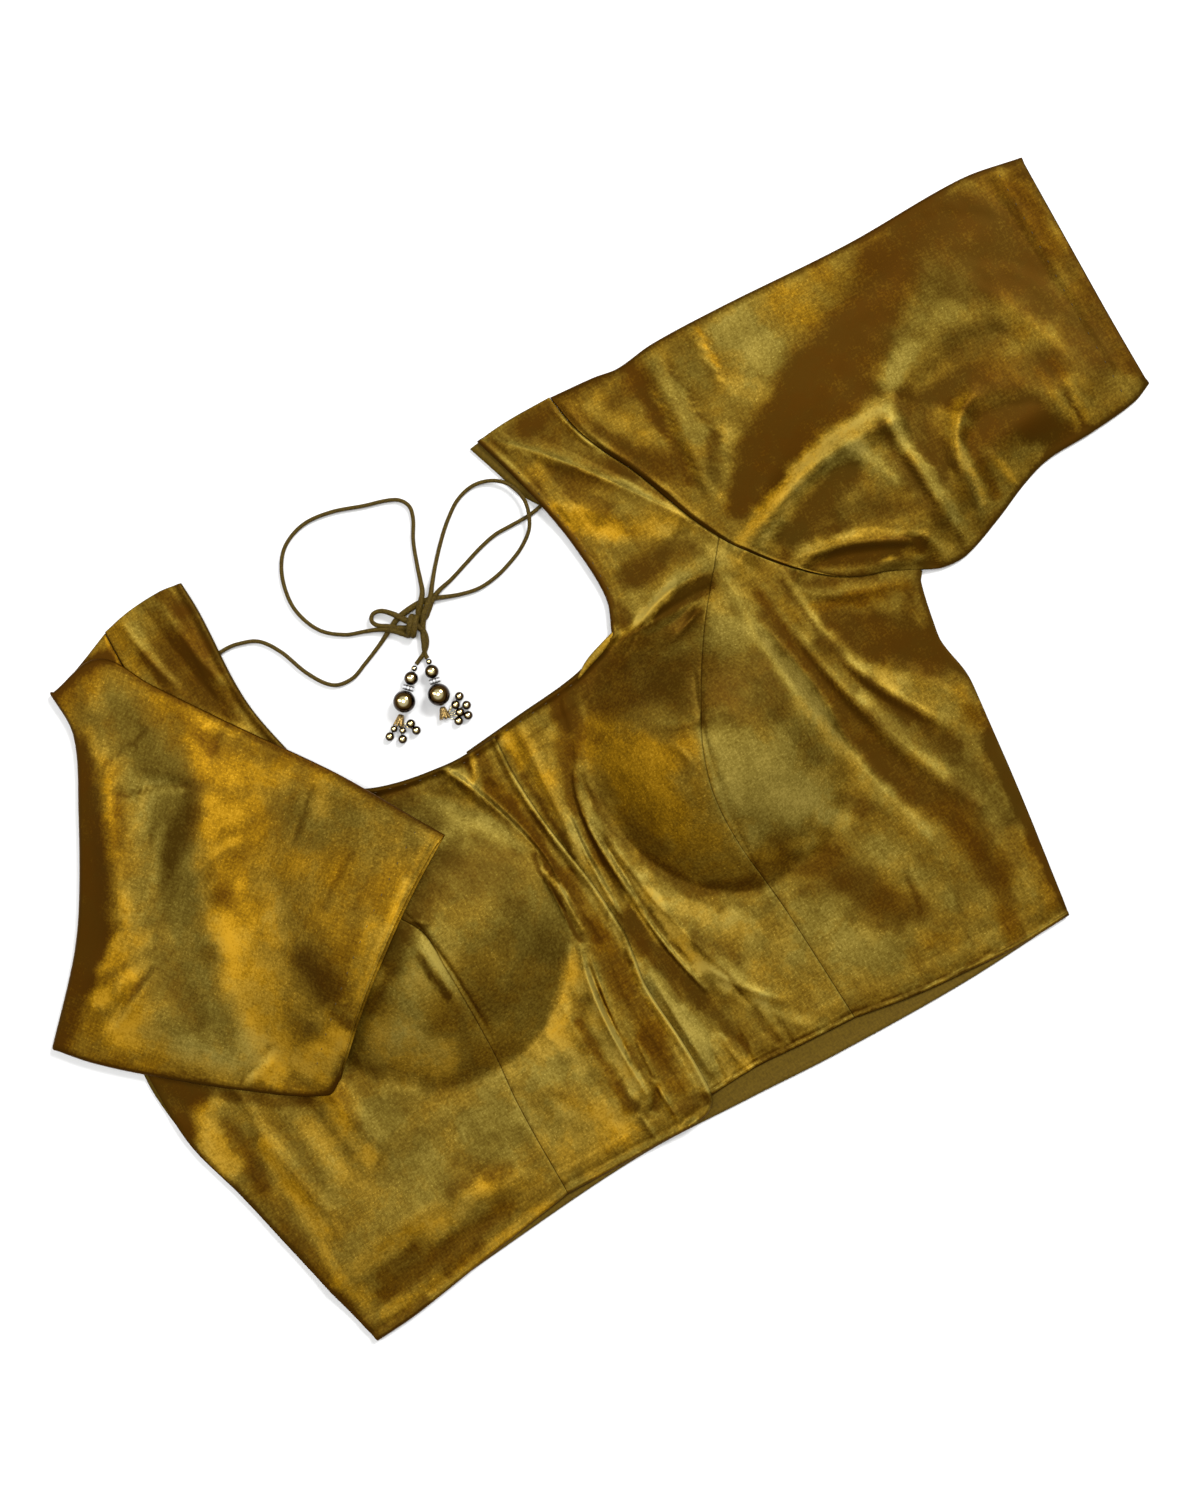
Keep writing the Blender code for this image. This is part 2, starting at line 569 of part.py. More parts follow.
def build():
    for old in list(bpy.data.objects):
        bpy.data.objects.remove(old)
    armhole_left = ARMHOLE_LEFT_LOW + ARMHOLE_LEFT_HIGH[1:]
    armhole_right = ARMHOLE_RIGHT_LOW + ARMHOLE_RIGHT_HIGH[1:]
    panel(
        "back_panel",
        [BACK_HEM, SIDE_LEFT, armhole_left, BACK_SHOULDER_LEFT, backwards(BACK_NECK),
         BACK_SHOULDER_RIGHT, backwards(armhole_right), backwards(SIDE_RIGHT)],
        flat_height,
        "olive_inside",
        grid=60.0,
    )
    panel(
        "front_left_centre",
        [HEM_LEFT_CENTRE, backwards(PRINCESS_LEFT), ARMHOLE_LEFT_HIGH, SHOULDER_LEFT, NECK_LEFT_SIDE,
         NECK_LEFT_FRONT, UNDERLAP_EDGE],
        front_height,
    )
    panel("front_left_side", [HEM_LEFT_SIDE, SIDE_LEFT, ARMHOLE_LEFT_LOW, PRINCESS_LEFT], front_height)
    panel(
        "front_right_centre",
        [NECK_RIGHT_FRONT, LAP_EDGE, LAP_CORNER, HEM_RIGHT_CENTRE, backwards(PRINCESS_RIGHT),
         ARMHOLE_RIGHT_HIGH, SHOULDER_RIGHT, NECK_RIGHT_SIDE],
        lap_height,
    )
    panel(
        "front_right_side",
        [HEM_RIGHT_SIDE, SIDE_RIGHT, ARMHOLE_RIGHT_LOW, PRINCESS_RIGHT],
        front_height,
    )
    sleeve_left()
    sleeve_right()
    cord("dori_left_lead", LEFT_LEAD)
    cord("dori_left_loop", LEFT_LOOP)
    cord("dori_left_tail", LEFT_TAIL)
    cord("dori_right_lead", RIGHT_LEAD)
    cord("dori_right_loop", RIGHT_LOOP)
    cord("dori_right_tail", RIGHT_TAIL)
    knot()
    for side in TASSELS:
        tassel(side)
    centre_on_cloth()


build()
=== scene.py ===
import math

import bmesh
import bpy
import numpy as np
from mathutils import Matrix, Vector
from mathutils.bvhtree import BVHTree


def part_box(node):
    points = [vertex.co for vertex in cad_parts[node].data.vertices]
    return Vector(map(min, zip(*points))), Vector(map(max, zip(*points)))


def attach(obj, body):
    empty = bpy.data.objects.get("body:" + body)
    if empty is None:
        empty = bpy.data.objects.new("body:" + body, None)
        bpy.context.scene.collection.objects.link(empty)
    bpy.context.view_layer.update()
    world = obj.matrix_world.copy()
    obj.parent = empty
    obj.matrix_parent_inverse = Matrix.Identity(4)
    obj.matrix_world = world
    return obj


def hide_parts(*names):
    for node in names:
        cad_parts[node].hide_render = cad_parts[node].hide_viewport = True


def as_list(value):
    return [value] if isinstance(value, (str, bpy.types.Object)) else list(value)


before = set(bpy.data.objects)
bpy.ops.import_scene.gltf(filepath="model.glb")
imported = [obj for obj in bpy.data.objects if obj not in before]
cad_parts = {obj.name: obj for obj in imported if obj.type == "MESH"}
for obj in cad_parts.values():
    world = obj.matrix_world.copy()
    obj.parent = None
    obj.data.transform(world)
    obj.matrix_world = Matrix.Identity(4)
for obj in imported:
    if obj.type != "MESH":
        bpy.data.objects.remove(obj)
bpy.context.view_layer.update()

# The whole blouse is drawn on its maker's axes, in millimetres: x to the right, y towards the neck,
# zero at the middle of the hem, on the surface. Left and right are the wearer's. The frame has its
# origin below the middle of the cloth, so the spread sleeve's cuff and the back hem place the two.
MM = 0.001
CUFF_CORNER_X = 395.0
BACK_HEM_LOW_Y = -1.35
hem_middle = Vector((
    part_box("sleeve_left")[1].x - CUFF_CORNER_X * MM,
    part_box("back_panel")[0].y - BACK_HEM_LOW_Y * MM,
    0,
))


def to_frame(x, y, z=0.0):
    return hem_middle + Vector((x, y, z)) * MM


# Camera: straight above the blouse, which lies turned on the surface with its neck to the upper left.
VIEW_POINT = (47.6, 200.5)
VIEW_TURN = math.radians(-31.6)
VIEW_HEIGHT = 1083.0
camera_data = bpy.data.cameras.new("camera")
camera_data.lens = 50
camera_data.sensor_width = 36
camera = bpy.data.objects.new("camera", camera_data)
camera.location = to_frame(*VIEW_POINT, VIEW_HEIGHT)
camera.rotation_euler = (0, 0, VIEW_TURN)
bpy.context.scene.collection.objects.link(camera)
bpy.context.scene.camera = camera


# Dori ties: two thin tubes of bias cloth with a cord inside, sewn into the back neck and tied in a
# bow. Each runs from its strap through the crossing, round its loop, through the knot to its tassel.
# They are pulled thin along their length and lie full and round at the knot, with one wrap round it.
CORD_DIAMETER = 2.4
CORD_RADIUS = CORD_DIAMETER / 2
PULLED_THIN = 0.86
KNOT = (1.0, 309.0)
KNOT_SWELL = 0.64
KNOT_REACH = 16.0
WRAP_MIDDLE = (-1.5, 306.0, 3.9)
WRAP_STEPS = 12
WRAP_REACH = 4.8
WRAP_HEIGHT = 2.4
LEFT_DORI = [
    (-97, 346.8, 1.6), (-90, 347, 1.3), (-84, 346, 1.2), (-74, 341.5, 1.2), (-67, 331, 1.2), (-61, 314, 1.2),
    (-53, 302, 1.2), (-43, 299.5, 1.2), (-33, 302.5, 1.2), (-20, 307.5, 1.2), (-13, 310.8, 1.3),
    (-6, 313.6, 1.6), (2, 314.6, 1.6), (9, 314.4, 1.8), (15, 312.8, 1.8), (27, 307.8, 1.2), (38, 305, 1.2),
    (49, 305.5, 1.2), (59, 308, 1.2), (68, 311.5, 1.6), (76, 317, 3.2), (80, 323.5, 4.6), (82, 330.5, 4.2),
    (81.5, 337, 3.6), (78.5, 344, 3.1), (72, 349.5, 2.2), (63, 352, 1.2), (53, 350, 1.2), (44, 344.5, 1.2),
    (35, 337, 1.2), (25, 327, 1.2), (18.5, 319.4, 2.6), (14.4, 314.2, 4.2), (10.6, 311.2, 4.8),
    (6.8, 308.0, 4.6), (3.6, 304.4, 3.6), (1.4, 300.6, 2.6), (-0.6, 296.6, 3.4), (-2.8, 292.6, 2.4),
    (-3.8, 289.8, 1.6), (-3.7, 287.9, 1.5),
]
RIGHT_DORI = [
    (91, 325.5, 1.6), (84.4, 324, 1.2), (78, 323.6, 1.2), (69, 324, 1.2), (60, 324.3, 1.2), (50, 322.6, 1.2),
    (40, 319.8, 1.2), (28, 316.4, 1.2), (20, 314.8, 2.0), (14.5, 312.4, 3.0), (9.2, 308.6, 2.4),
    (5.6, 306.8, 2.2), (4.6, 309.8, 3.4), (8.2, 313.8, 4.6), (12.0, 318.4, 3.6), (14.2, 324, 1.8),
    (17, 332, 1.2), (22, 344, 1.2), (28, 354, 1.2), (29.4, 361, 1.2), (25, 367, 1.2), (9, 373, 1.2),
    (-7, 379, 1.2), (-22, 381, 1.2), (-35, 377, 1.2), (-43, 369, 1.2), (-48, 357, 1.2), (-49, 344, 1.2),
    (-44, 330, 1.2), (-34, 321, 1.2), (-24, 316.8, 1.4), (-17, 313.6, 2.2), (-11.4, 309.4, 2.6),
    (-7.6, 305.2, 2.8),
]
for i in range(WRAP_STEPS + 1):
    angle = math.pi * (1 - i / 4)
    along, across = WRAP_REACH * math.cos(angle), 0.3 * i - 1.8
    RIGHT_DORI.append((
        WRAP_MIDDLE[0] + 0.57 * along + 0.82 * across,
        WRAP_MIDDLE[1] + 0.82 * along - 0.57 * across,
        WRAP_MIDDLE[2] + WRAP_HEIGHT * math.sin(angle),
    ))
RIGHT_DORI += [
    (0.8, 306.6, 1.8), (-4.0, 306.6, 1.6), (-8.4, 309.2, 1.8), (-12.4, 312.6, 2.2), (-16.8, 316.0, 2.6),
    (-18.2, 319.4, 2.8), (-15.8, 322.2, 2.8), (-11.4, 321.4, 2.8), (-7.4, 317.4, 3.0), (-4.4, 312.8, 3.2),
    (-1.8, 308.8, 3.4), (0.6, 305.0, 3.4), (1.8, 301.2, 3.0), (1.2, 297.2, 2.2), (-1.0, 293.6, 1.6),
    (-4.6, 290.8, 1.5), (-7.6, 289.6, 1.5), (-10.4, 288.4, 1.5),
]


def smooth_line(points, step):
    """Points every step or so along a smooth curve through the given points, as an array."""
    points = np.array(points, float)
    ends = np.vstack([2 * points[0] - points[1], points, 2 * points[-1] - points[-2]])
    line = [points[0]]
    for before, a, b, after in zip(ends, ends[1:], ends[2:], ends[3:]):
        reach = np.linalg.norm(b - a)
        count = max(1, round(reach / step))
        pull_a = (b - before) * reach / max(np.linalg.norm(b - before), 1e-9)
        pull_b = (after - a) * reach / max(np.linalg.norm(after - a), 1e-9)
        for i in range(1, count + 1):
            t = i / count
            line.append(
                a * (2 * t**3 - 3 * t**2 + 1) + pull_a * (t**3 - 2 * t**2 + t)
                + b * (3 * t**2 - 2 * t**3) + pull_b * (t**3 - t**2)
            )
    return np.array(line)


def length_of(line):
    return float(np.linalg.norm(np.diff(line, axis=0), axis=1).sum())


def add_cord(name, route, finish):
    """A tube of round cord along a route, closed at both ends. Returns the tube and its length in mm."""
    line = smooth_line(route, 0.8)
    from_knot = np.linalg.norm(line[:, :2] - KNOT, axis=1)
    thickness = PULLED_THIN + KNOT_SWELL * np.exp(-((from_knot / KNOT_REACH) ** 2))
    line[:, 2] = np.maximum(line[:, 2], CORD_RADIUS * thickness)
    curve = bpy.data.curves.new(name, "CURVE")
    curve.dimensions = "3D"
    curve.bevel_depth = CORD_RADIUS * MM
    curve.bevel_resolution = 4
    curve.use_fill_caps = True
    spline = curve.splines.new("POLY")
    spline.points.add(len(line) - 1)
    for target, p, swell in zip(spline.points, line, thickness):
        target.co = (*to_frame(*p), 1)
        target.radius = swell
    spline.use_smooth = True
    curve.materials.append(finish)
    made = bpy.data.objects.new(name, curve)
    bpy.context.scene.collection.objects.link(made)
    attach(made, "root")
    return made, length_of(line)


def new_material(name, colour, roughness, metallic=0.0):
    """A Principled material, with its node tree and shader."""
    made = bpy.data.materials.new(name)
    made.use_nodes = True
    tree = made.node_tree
    shader = tree.nodes["Principled BSDF"]
    shader.inputs["Base Color"].default_value = (*colour, 1)
    shader.inputs["Roughness"].default_value = roughness
    shader.inputs["Metallic"].default_value = metallic
    return made, tree, shader


def object_place(tree):
    return tree.nodes.new("ShaderNodeTexCoord").outputs["Object"]


def add_noise(tree, place, scale, detail, roughness=0.5):
    """Noise of a given fineness, as its value socket."""
    noise = tree.nodes.new("ShaderNodeTexNoise")
    noise.inputs["Scale"].default_value = scale
    noise.inputs["Detail"].default_value = detail
    noise.inputs["Roughness"].default_value = roughness
    tree.links.new(place, noise.inputs["Vector"])
    return noise.outputs["Fac"]


def add_ramp(tree, level, *stops):
    """Colours that a level passes through, given as (position, colour), as a colour socket."""
    node = tree.nodes.new("ShaderNodeValToRGB")
    elements = node.color_ramp.elements
    for element, (position, colour) in ((elements[0], stops[0]), (elements[1], stops[-1])):
        element.position = position
        element.color = (*colour, 1)
    for position, colour in stops[1:-1]:
        elements.new(position).color = (*colour, 1)
    tree.links.new(level, node.inputs["Fac"])
    return node.outputs["Color"]


def add_bump(tree, shader, height, strength, distance):
    bump = tree.nodes.new("ShaderNodeBump")
    bump.inputs["Strength"].default_value = strength
    bump.inputs["Distance"].default_value = distance
    tree.links.new(height, bump.inputs["Height"])
    tree.links.new(bump.outputs["Normal"], shader.inputs["Normal"])


dori_finish, tree, shader = new_material("dori_cloth", (0.06, 0.035, 0.004), 0.65, 0.1)
ribs = add_noise(tree, object_place(tree), 1400, 3)
mottle = add_ramp(tree, ribs, (0.32, (0.028, 0.016, 0.0015)), (0.72, (0.100, 0.064, 0.008)))
tree.links.new(mottle, shader.inputs["Base Color"])
add_bump(tree, shader, ribs, 0.5, 0.0002)
shader.inputs["Specular IOR Level"].default_value = 0.1

left_dori, left_length = add_cord("dori_left", LEFT_DORI, dori_finish)
right_dori, right_length = add_cord("dori_right", RIGHT_DORI, dori_finish)
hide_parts("dori_left_lead", "dori_right_loop", "dori_right_tail")
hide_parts("dori_right_lead", "dori_left_loop", "dori_left_tail", "dori_knot")


# Tassels: plated beads strung on each cord end, silver rondelles set with clear stones, a pierced
# cap like a small bell, and round drops hung from it on wire.
bead_finish, tree, shader = new_material("plated_bead", (0.62, 0.42, 0.14), 0.16, 1.0)
geometry = tree.nodes.new("ShaderNodeNewGeometry")
parts = tree.nodes.new("ShaderNodeSeparateXYZ")
tree.links.new(geometry.outputs["Normal"], parts.inputs["Vector"])
# The beads' colour is painted by which way each point faces: a painted highlight on top, painted shade round
# the sides.
painted_highlight_and_shade = add_ramp(
    tree, parts.outputs["Z"],
    (0.60, (0.022, 0.010, 0.002)), (0.86, (0.16, 0.085, 0.015)), (0.94, (1.0, 0.84, 0.42)),
)
tree.links.new(painted_highlight_and_shade, shader.inputs["Base Color"])


def add_cells(tree, scale):
    """Small cells, as the distance from the middle of each."""
    cells = tree.nodes.new("ShaderNodeTexVoronoi")
    cells.inputs["Scale"].default_value = scale
    tree.links.new(object_place(tree), cells.inputs["Vector"])
    return cells.outputs["Distance"]


stone_finish, tree, shader = new_material("clear_stone", (0.90, 0.90, 0.91), 0.12, 0.2)
# Painted sparkle: small cells, pale in their middles, stand in for glints off the stones.
painted_sparkle = add_ramp(tree, add_cells(tree, 900), (0.0, (0.98, 0.98, 0.98)), (1.0, (0.62, 0.62, 0.64)))
tree.links.new(painted_sparkle, shader.inputs["Base Color"])

ring_finish = new_material("silver_ring", (0.16, 0.15, 0.14), 0.25, 0.9)[0]

cap_finish, tree, shader = new_material("pierced_cap", (0.30, 0.20, 0.07), 0.4, 0.8)
holes = add_cells(tree, 1100)
# Painted shade: dark cells stand in for the shade seen through the pierced holes.
painted_hole_shade = add_ramp(tree, holes, (0.25, (0.035, 0.020, 0.005)), (0.50, (0.34, 0.22, 0.07)))
tree.links.new(painted_hole_shade, shader.inputs["Base Color"])
add_bump(tree, shader, holes, 0.7, 0.0003)


def middle_of(node):
    low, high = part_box(node)
    return ((low + high) / 2 - hem_middle) / MM


def radius_of(node):
    low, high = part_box(node)
    return (high.z - low.z) / 2 / MM


def turn_to(direction):
    return Vector((0, 0, 1)).rotation_difference(direction).to_matrix()


def turned(profile, steps):
    """A bmesh of a closed profile of (radius, height), turned once round its axis."""
    bm = bmesh.new()
    verts = [bm.verts.new((r, 0, z)) for r, z in profile]
    edges = [bm.edges.new(pair) for pair in zip(verts, verts[1:] + verts[:1])]
    bmesh.ops.spin(
        bm, geom=verts + edges, cent=(0, 0, 0), axis=(0, 0, 1), angle=2 * math.pi, steps=steps, use_merge=True
    )
    bmesh.ops.remove_doubles(bm, verts=bm.verts, dist=0.001)
    bmesh.ops.recalc_face_normals(bm, faces=bm.faces)
    return bm


def add_mesh(name, bm, *materials, smooth=True):
    """Puts a finished bmesh, drawn in millimetres, into the scene, riding on the blouse."""
    bmesh.ops.transform(bm, matrix=Matrix.Translation(hem_middle) @ Matrix.Scale(MM, 4), verts=bm.verts)
    mesh = bpy.data.meshes.new(name)
    bm.to_mesh(mesh)
    bm.free()
    if smooth:
        mesh.shade_smooth()
    for finish in materials:
        mesh.materials.append(finish)
    made = bpy.data.objects.new(name, mesh)
    bpy.context.scene.collection.objects.link(made)
    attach(made, "root")
    return made


def string_on(bm, node, direction, slot, *materials, smooth=True):
    """Turns a part to the way of its string and shows it in place of its node."""
    bmesh.ops.rotate(bm, verts=bm.verts, cent=(0, 0, 0), matrix=turn_to(direction))
    bmesh.ops.translate(bm, verts=bm.verts, vec=middle_of(node))
    made = add_mesh("shown_" + node, bm, *materials, smooth=smooth)
    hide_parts(node)
    return made


def bead(node, direction, size=1.0):
    """A strung round bead: a turned profile that dips to its hole at both poles."""
    radius = radius_of(node) * size
    hole = radius * 0.22
    angles = [math.acos(hole / radius) * (2 * i / 18 - 1) for i in range(19)]
    profile = [(hole * 0.8, -radius * 0.8)]
    profile += [(radius * math.cos(angle), radius * math.sin(angle)) for angle in angles]
    profile += [(hole * 0.8, radius * 0.8)]
    return string_on(turned(profile, 32), node, direction, "gold_bead", bead_finish)


def rondelle(node, direction, stones=9):
    """A grooved silver ring with a row of small clear stones round its rim."""
    radius = radius_of(node)
    half = 1.35
    bm = turned([
        (radius * 0.35, half), (radius * 0.9, half), (radius, half * 0.8),
        (radius * 0.72, half * 0.45), (radius * 0.72, -half * 0.45), (radius, -half * 0.8),
        (radius * 0.9, -half), (radius * 0.35, -half),
    ], 36)
    ring = set(bm.faces)
    for i in range(stones):
        angle = 2 * math.pi * i / stones
        stone = bmesh.ops.create_icosphere(bm, subdivisions=1, radius=0.9)["verts"]
        spot = Vector((math.cos(angle), math.sin(angle), 0)) * (radius - 0.55)
        bmesh.ops.translate(bm, verts=stone, vec=spot)
    for face in bm.faces:
        face.material_index = 0 if face in ring else 1
    return string_on(bm, node, direction, "rhinestone", ring_finish, stone_finish, smooth=False)


def cap(node, direction, petals=7):
    """A thin bell with scalloped petals and an open mouth."""
    bm = turned([
        (0.7, -3.0), (1.3, -2.8), (1.75, -1.8), (2.0, -0.4), (2.35, 1.0), (2.6, 2.3), (2.55, 3.0),
        (2.25, 3.0), (2.1, 1.0), (1.7, -0.5), (1.3, -2.0), (0.7, -2.5),
    ], 42)
    for vertex in bm.verts:
        wave = math.cos(petals * math.atan2(vertex.co.y, vertex.co.x))
        share = (vertex.co.z + 3) / 6
        vertex.co.x *= 1 + 0.16 * wave * share
        vertex.co.y *= 1 + 0.16 * wave * share
        vertex.co.z += 0.7 * share * share * wave
    return string_on(bm, node, direction, "filigree", cap_finish)


def wire(name, start, end):
    """The short eye wire that a drop hangs from."""
    way = end - start
    bm = bmesh.new()
    bmesh.ops.create_cone(bm, cap_ends=True, segments=8, radius1=0.25, radius2=0.25, depth=way.length)
    bmesh.ops.rotate(bm, verts=bm.verts, cent=(0, 0, 0), matrix=turn_to(way))
    bmesh.ops.translate(bm, verts=bm.verts, vec=(start + end) / 2)
    made = add_mesh(name, bm, bead_finish)
    return made


def flat_way(start, end):
    """The level direction from one node's middle to another's."""
    return ((middle_of(end) - middle_of(start)) * Vector((1, 1, 0))).normalized()


for side in ("left", "right"):
    prefix = f"tassel_{side}_"
    string = flat_way(prefix + "seed", prefix + "large_bead")
    hang = flat_way(prefix + "large_bead", prefix + "cone")
    pieces = [bead(prefix + part, string) for part in ("seed", "bead", "large_bead")]
    pieces.append(rondelle(prefix + "rondelle", string))
    pieces.append(cap(prefix + "cone", hang))
    mouth = middle_of(prefix + "cone") + hang * 2.0
    for number in range(1, 7):
        drop = f"{prefix}drop_{number}"
        at = middle_of(drop)
        size = 1.16 if (at - mouth).length > 6.0 else 0.88
        pieces.append(bead(drop, at - mouth, size))
        pieces.append(wire(f"wire_{side}_{number}", mouth, at))


# Tissue cloth: silk warp with a metallic gold weft. Its colour holds painted light: painted shine and a
# painted gold or olive sheen by the way it tilts, and painted shade where it falls away. Warp and weft show
# as fine lines.
def weave_group():
    """Fine crossed threads: a height for the bump, and a speckle of brighter and duller threads."""
    group = bpy.data.node_groups.new("tissue_weave", "ShaderNodeTree")
    group.interface.new_socket(name="Vector", in_out="INPUT", socket_type="NodeSocketVector")
    group.interface.new_socket(name="Height", in_out="OUTPUT", socket_type="NodeSocketFloat")
    group.interface.new_socket(name="Speckle", in_out="OUTPUT", socket_type="NodeSocketFloat")
    start = group.nodes.new("NodeGroupInput")
    end = group.nodes.new("NodeGroupOutput")

    def threads_along(stretch):
        squeeze = group.nodes.new("ShaderNodeMapping")
        squeeze.inputs["Scale"].default_value = stretch
        group.links.new(start.outputs["Vector"], squeeze.inputs["Vector"])
        return add_noise(group, squeeze.outputs["Vector"], 1500, 3)

    def mean_of(one, two):
        total = group.nodes.new("ShaderNodeMath")
        total.operation = "ADD"
        group.links.new(one, total.inputs[0])
        group.links.new(two, total.inputs[1])
        half = group.nodes.new("ShaderNodeMath")
        half.operation = "MULTIPLY"
        half.inputs[1].default_value = 0.5
        group.links.new(total.outputs[0], half.inputs[0])
        return half.outputs[0]

    height = mean_of(threads_along((0.10, 1.0, 1.0)), threads_along((1.0, 0.14, 1.0)))
    grains = add_noise(group, start.outputs["Vector"], 760, 4)
    group.links.new(height, end.inputs["Height"])
    group.links.new(mean_of(grains, height), end.inputs["Speckle"])
    return group


weave = weave_group()
# The way of tilt that is painted brighter in the tissue's colour.
PAINTED_LIGHT_SIDE = Vector((0.80, 0.60, 0.0))
BASE_LEVEL = -0.595


def tissue(name, grain_turn, painted_sheen_side, base_warmth):
    """Shot tissue with its weft at an angle. Painted shine, painted shade and a painted gold or olive sheen
    follow tilt and place; broad mottling and painted glints are added.
    """
    made, tree, shader = new_material(name, (0.2, 0.12, 0.01), 0.5, 0.5)
    nodes, links = tree.nodes, tree.links
    geometry = nodes.new("ShaderNodeNewGeometry")

    def sum_of(source, factor, rest):
        """The source times a factor plus the rest, which is a socket or a number."""
        total = nodes.new("ShaderNodeMath")
        total.operation = "MULTIPLY_ADD"
        links.new(source, total.inputs[0])
        total.inputs[1].default_value = factor
        if isinstance(rest, float):
            total.inputs[2].default_value = rest
        else:
            links.new(rest, total.inputs[2])
        return total.outputs[0]

    def product_of(one, two):
        product = nodes.new("ShaderNodeMath")
        product.operation = "MULTIPLY"
        links.new(one, product.inputs[0])
        links.new(two, product.inputs[1])
        return product.outputs[0]

    def spread_of(source, low, high, soft=False):
        """The source's stretch from low to high as 0 to 1, soft at its ends or even."""
        stretch = nodes.new("ShaderNodeMapRange")
        stretch.interpolation_type = "SMOOTHSTEP" if soft else "LINEAR"
        stretch.inputs["From Min"].default_value = low
        stretch.inputs["From Max"].default_value = high
        links.new(source, stretch.inputs["Value"])
        return stretch.outputs["Result"]

    def facing(direction):
        dot = nodes.new("ShaderNodeVectorMath")
        dot.operation = "DOT_PRODUCT"
        dot.inputs[1].default_value = direction
        links.new(geometry.outputs["Normal"], dot.inputs[0])
        return dot.outputs["Value"]

    def stored(attribute):
        node = nodes.new("ShaderNodeAttribute")
        node.attribute_name = attribute
        return node.outputs["Fac"]

    place = object_place(tree)
    turn = nodes.new("ShaderNodeMapping")
    turn.inputs["Rotation"].default_value = (0, 0, grain_turn)
    links.new(place, turn.inputs["Vector"])
    along_grain = turn.outputs["Vector"]
    threads = nodes.new("ShaderNodeGroup")
    threads.node_tree = weave
    links.new(along_grain, threads.inputs["Vector"])
    narrow = nodes.new("ShaderNodeMapping")
    narrow.inputs["Scale"].default_value = (1.0, 0.09, 1.0)
    links.new(along_grain, narrow.inputs["Vector"])
    streaks = add_noise(tree, narrow.outputs["Vector"], 260, 4)
    cloud = add_noise(tree, along_grain, 45, 6, 0.62)
    painted_glints = add_noise(tree, place, 1150, 2)
    patches = add_noise(tree, place, 60, 6, 0.65)

    # Painted light by tilt: slopes facing the bright side get painted shine; slopes turned away, steep slopes
    # and rims get painted shade.
    tilt = sum_of(facing(Vector((0, 0, 1))), -1.0, 1.0)
    level = sum_of(facing(PAINTED_LIGHT_SIDE), 0.44, BASE_LEVEL)
    level = sum_of(product_of(tilt, tilt), -1.5, level)
    level = sum_of(streaks, 0.22, level)
    level = sum_of(spread_of(cloud, 0.45, 0.55, True), 0.05, level)
    # The stored painted shine and shade are added in here.
    level = sum_of(cloud, 0.40, sum_of(stored("painted_light_level"), 1.45, level))
    level = sum_of(threads.outputs["Speckle"], 1.4, level)
    # Painted glints: pale flecks added where the colour is already bright.
    level = sum_of(product_of(spread_of(painted_glints, 0.60, 0.75), level), 0.6, level)
    # Gold or olive by tilt is a painted sheen; by place and mottling it is partly the cloth's shot colour and
    # partly painted sheen.
    warmth = sum_of(facing(painted_sheen_side), 0.7, sum_of(stored("warmth"), 1.0, base_warmth))
    warmth = sum_of(patches, 0.6, warmth)
    warmth = sum_of(spread_of(patches, 0.45, 0.55, True), 0.16, warmth)
    # Each ramp runs from painted shade at a low level to painted shine at a high one.
    olive = add_ramp(
        tree, level,
        (0.0, (0.042, 0.021, 0.0010)), (0.25, (0.074, 0.044, 0.0040)), (0.5, (0.122, 0.082, 0.0100)),
        (0.75, (0.195, 0.140, 0.0220)), (1.0, (0.285, 0.210, 0.0400)),
    )
    gold = add_ramp(
        tree, level,
        (0.0, (0.048, 0.017, 0.0002)), (0.25, (0.090, 0.038, 0.0008)), (0.5, (0.160, 0.078, 0.0020)),
        (0.75, (0.290, 0.148, 0.0040)), (1.0, (0.430, 0.230, 0.0120)),
    )
    mix = nodes.new("ShaderNodeMix")
    mix.data_type = "RGBA"
    links.new(warmth, mix.inputs["Factor"])
    links.new(olive, mix.inputs["A"])
    links.new(gold, mix.inputs["B"])
    links.new(mix.outputs["Result"], shader.inputs["Base Color"])
    links.new(sum_of(threads.outputs["Speckle"], 0.18, 0.42), shader.inputs["Roughness"])
    add_bump(tree, shader, threads.outputs["Height"], 0.35, 0.00015)
    shader.inputs["Specular IOR Level"].default_value = 0.12
    shader.inputs["Specular Tint"].default_value = (1.0, 0.72, 0.25, 1)
    shader.inputs["Anisotropic"].default_value = 0.3
    return made


body_tissue = tissue("tissue_body", 0.0, Vector((-0.80, -0.60, 0)), -0.03)
sleeve_tissue = tissue("tissue_spread_sleeve", math.radians(3), Vector((-0.5, 0.5, 0)), 0.02)
folded_tissue = tissue("tissue_folded_sleeve", math.radians(53), Vector((0.8, -0.3, 0)), 0.47)

